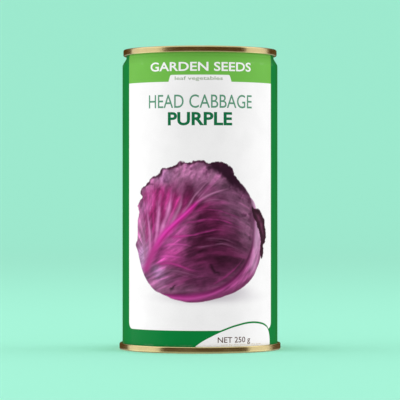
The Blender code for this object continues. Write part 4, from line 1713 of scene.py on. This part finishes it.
def add_body():
    """The body, printed outside and gold inside, and the weld down its back."""
    made = turned("can_body_shell", plate_outline(body_line(), -1, 0.0011, 0.003), FINISHES["print"])
    made.data.materials.append(FINISHES["gold"])
    for face in made.data.polygons:
        if face.normal.x * face.center.x + face.normal.y * face.center.y < 0:
            face.material_index = 1
    settle(made, CAN_BODY, "printed_body", "can_body")
    heights = np.arange(*WELD_ENDS, WELD_STEP) * MM
    line = [(0.0, radius_at(height) + WELD_LIFT, height) for height in heights]
    mesh = bpy.data.meshes.new("weld_line")
    mesh.from_pydata(line, [(i, i + 1) for i in range(len(line) - 1)], [])
    weld = grow("side_weld", mesh, TREES["weld_nuggets"], Finish=FINISHES["weld"])
    settle(weld, CAN_BODY, "printed_body")


def add_ends():
    """The lid with its score, pressings and rivet, and the base."""
    score = [SCORE_RADIUS + SCORE_HALF_WIDTH * share for share in (1, 0, -1)]
    top = from_top(end_line(NECK_RADIUS, LID_BEADS, score)).tolist()
    lid = turned("top_end_shell", plate_outline(top, 1, 0.00036, 0.0005, SCORE_DEPTH), FINISHES["gold"])
    press_panel(lid.data)
    settle(lid, CAN_BODY, "lid", "top_end")
    settle(rivet(FINISHES["gold"]), CAN_BODY, "lid")
    bottom = end_line(BODY_RADIUS, BASE_BEADS)
    foot = turned("bottom_end_shell", plate_outline(bottom, -1, 0.0005, 0.0007), FINISHES["gold"])
    settle(foot, CAN_BODY, "base", "bottom_end")


def add_pull():
    """The ring-pull, and the strip that bends between it and the rivet."""
    settle(ring_pull(FINISHES["tinplate"]), PULL_BODY, "pull", "ring_pull")
    strip = tongue(FINISHES["tinplate"])
    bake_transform(strip)
    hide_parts("tab_tongue")


def add_seed():
    """The fill, slightly heaped, and a layer of seeds strewn on it."""
    low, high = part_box("seed_fill")
    side = high.x
    edge = side - FILL_GAP
    heap = [(0.0, high.z - 0.0012, 0.0), (side * 0.5, high.z - 0.0019, 0.02), (edge, high.z - 0.0040, 0.0)]
    rest = [(edge, low.z + 0.0010, 0.0), (side - 0.0060, low.z, 0.0), (0.0, low.z, 0.0)]
    bulk = turned("seed_bulk", spaced(rounded(heap + rest), 0.004), FINISHES["seed"], 96)
    settle(bulk, CAN_BODY, "seed", "seed_fill")
    mesh = bpy.data.meshes.new("seed_bed")
    surface = bmesh.new()
    bmesh.ops.create_circle(surface, cap_ends=True, cap_tris=True, radius=side - SEED_GAP, segments=64)
    bmesh.ops.subdivide_edges(surface, edges=surface.edges, cuts=6, use_grid_fill=True)
    for vert in surface.verts:
        reach = math.hypot(vert.co.x, vert.co.y) / side
        vert.co.z = high.z - 0.0011 - 0.0028 * reach * reach
    surface.to_mesh(mesh)
    surface.free()
    layer = grow("seed_layer", mesh, TREES["seed_scatter"], Finish=FINISHES["seed"])
    settle(layer, CAN_BODY, "seed")


def month_numbers():
    """The calendar's numbers, 1 to 12, in two rows of six cells."""
    lines = []
    for month in range(12):
        middle = CALENDAR_LEFT + CALENDAR_CELL[0] * (month % 6 + 0.5)
        foot = CALENDAR_FOOT + CALENDAR_CELL[1] * (1 - month // 6) + MONTH_RISE
        width = ODD_MONTH_WIDTHS.get(month + 1, MONTH_WIDTH)
        lines.append((str(month + 1), middle, foot, MONTH_HEIGHT, width, 0.0))
    return lines


def add_print():
    """The picture and the lettering, each ink's words as one piece."""
    settle(printed_picture(FINISHES["picture"]), CAN_BODY, "printed_body")
    pages = {
        "white": [("GARDEN SEEDS", 0.4, 129.7, 3.9, 50.0, 0.10)],
        "grey": [("leaf vegetables", -0.6, 125.5, 1.55, 22.4, 0.018)],
        "light_title": [("HEAD CABBAGE", 0.2, 112.7, 6.0, 51.6, 0.02)],
        "title": [("PURPLE", 0.0, 104.9, 5.6, 30.4, 0.24), *month_numbers()],
        "brown": [("NET 250 g", 16.6, 4.9, 2.5, 16.8, 0.03)],
        "pale": [("sow by the date on the base", 21.0, 3.6, 0.75, 22.0, 0.0)],
    }
    for ink, lines in pages.items():
        settle(lettering(ink + "_words", lines, FINISHES[ink]), CAN_BODY, "printed_body")


def dress_compounds():
    """Gives the two solids that show as they are their finish."""
    for name in ("top_seam_compound", "bottom_seam_compound"):
        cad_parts[name].material_slots[0].material = FINISHES["compound"]


add_body()
add_ends()
add_pull()
add_seed()
add_print()
dress_compounds()


# -------------------------------------------------------------------- studio

STAGE_RADIUS = 3.0
STAGE_HEIGHT = 3.5
STAGE_BEND = 1.2
STAGE_TINT = (0.405, 1.0, 0.753)
AMBIENT = (0.79, 0.79, 0.79)
# What polished metal reflects: dark at eye level, pale above and below.
REFLECTED_WALL = (0.080, 0.034, 0.001)
REFLECTED_SKY = (0.80, 0.80, 0.78)
REFLECTED_FLOOR = (0.42, 0.48, 0.44)
LIT_HEIGHT = 0.07
CAMERA_DISTANCE = 1.130
CAMERA_HEIGHT = 0.0704
CAMERA_LENS = 214.8
CAMERA_SENSOR = 36.0


def add_stage():
    """A plain pale floor that curves up into a wall all round."""
    corner = (STAGE_RADIUS, 0.0, STAGE_BEND)
    profile = rounded([(0.0, 0.0, 0.0), corner, (STAGE_RADIUS, STAGE_HEIGHT, 0.0)], 16)
    paper = bpy.data.materials.new("pale_paper")
    paper.use_nodes = True
    shader = paper.node_tree.nodes["Principled BSDF"]
    shader.inputs["Base Color"].default_value = (*STAGE_TINT, 1.0)
    shader.inputs["Roughness"].default_value = 0.9
    shader.inputs["Specular IOR Level"].default_value = 0.1
    floor = turned("floor", profile, paper, 96)
    floor.data.flip_normals()
    floor.visible_glossy = False
    floor.visible_diffuse = False
    floor.visible_shadow = False


def add_world():
    """Even pale light all round, and a darker surrounding for polished metal to reflect."""
    world = bpy.data.worlds.new("studio")
    bpy.context.scene.world = world
    world.use_nodes = True
    tree = world.node_tree
    tree.nodes.clear()
    ahead = place(tree, "ShaderNodeTexCoord").outputs["Generated"]
    up = place(tree, "ShaderNodeSeparateXYZ", {0: ahead}).outputs["Z"]
    seen = mixed(tree, ramp(tree, up, 0.22, 0.75), REFLECTED_WALL, REFLECTED_SKY)
    seen = mixed(tree, ramp(tree, up, -0.04, -0.30), seen, REFLECTED_FLOOR)
    glossy = place(tree, "ShaderNodeLightPath").outputs["Is Glossy Ray"]
    light = mixed(tree, glossy, AMBIENT, seen)
    shader = result(tree, "ShaderNodeBackground", {"Color": light, "Strength": 1.0})
    place(tree, "ShaderNodeOutputWorld", {"Surface": shader})


def softbox(name, azimuth, height, distance, width, tall, radiance):
    """A soft light, turned to the can. Its azimuth is in degrees from the front, positive to the right."""
    lamp = bpy.data.lights.new(name, "AREA")
    lamp.shape = "RECTANGLE"
    lamp.size, lamp.size_y = width, tall
    lamp.energy = math.pi * width * tall * radiance
    made = placed(name, lamp)
    angle = math.radians(azimuth)
    made.location = (distance * math.sin(angle), -distance * math.cos(angle), height)
    aim = Vector((0, 0, LIT_HEIGHT)) - made.location
    made.rotation_euler = aim.to_track_quat("-Z", "Y").to_euler()
    return made


def add_camera():
    """A long lens straight ahead of the can, level and half way up it."""
    lens = bpy.data.cameras.new("front_camera")
    lens.lens = CAMERA_LENS
    lens.sensor_width = CAMERA_SENSOR
    made = placed("front_camera", lens)
    made.location = (0.0, -CAMERA_DISTANCE, CAMERA_HEIGHT)
    made.rotation_euler = (math.radians(90), 0.0, 0.0)
    bpy.context.scene.camera = made


add_stage()
add_world()
softbox("left_softbox", -90, 0.20, 1.00, 1.30, 1.50, 0.85)
softbox("right_softbox", 95, 0.20, 1.00, 0.86, 1.50, 0.85)
for name, azimuth, radiance in (("left_fill", -76, 0.58), ("right_fill", 78, 0.75)):
    softbox(name, azimuth, 0.07, 1.30, 0.8, 0.8, radiance).visible_glossy = False
add_camera()
bpy.context.scene.view_settings.view_transform = "Standard"
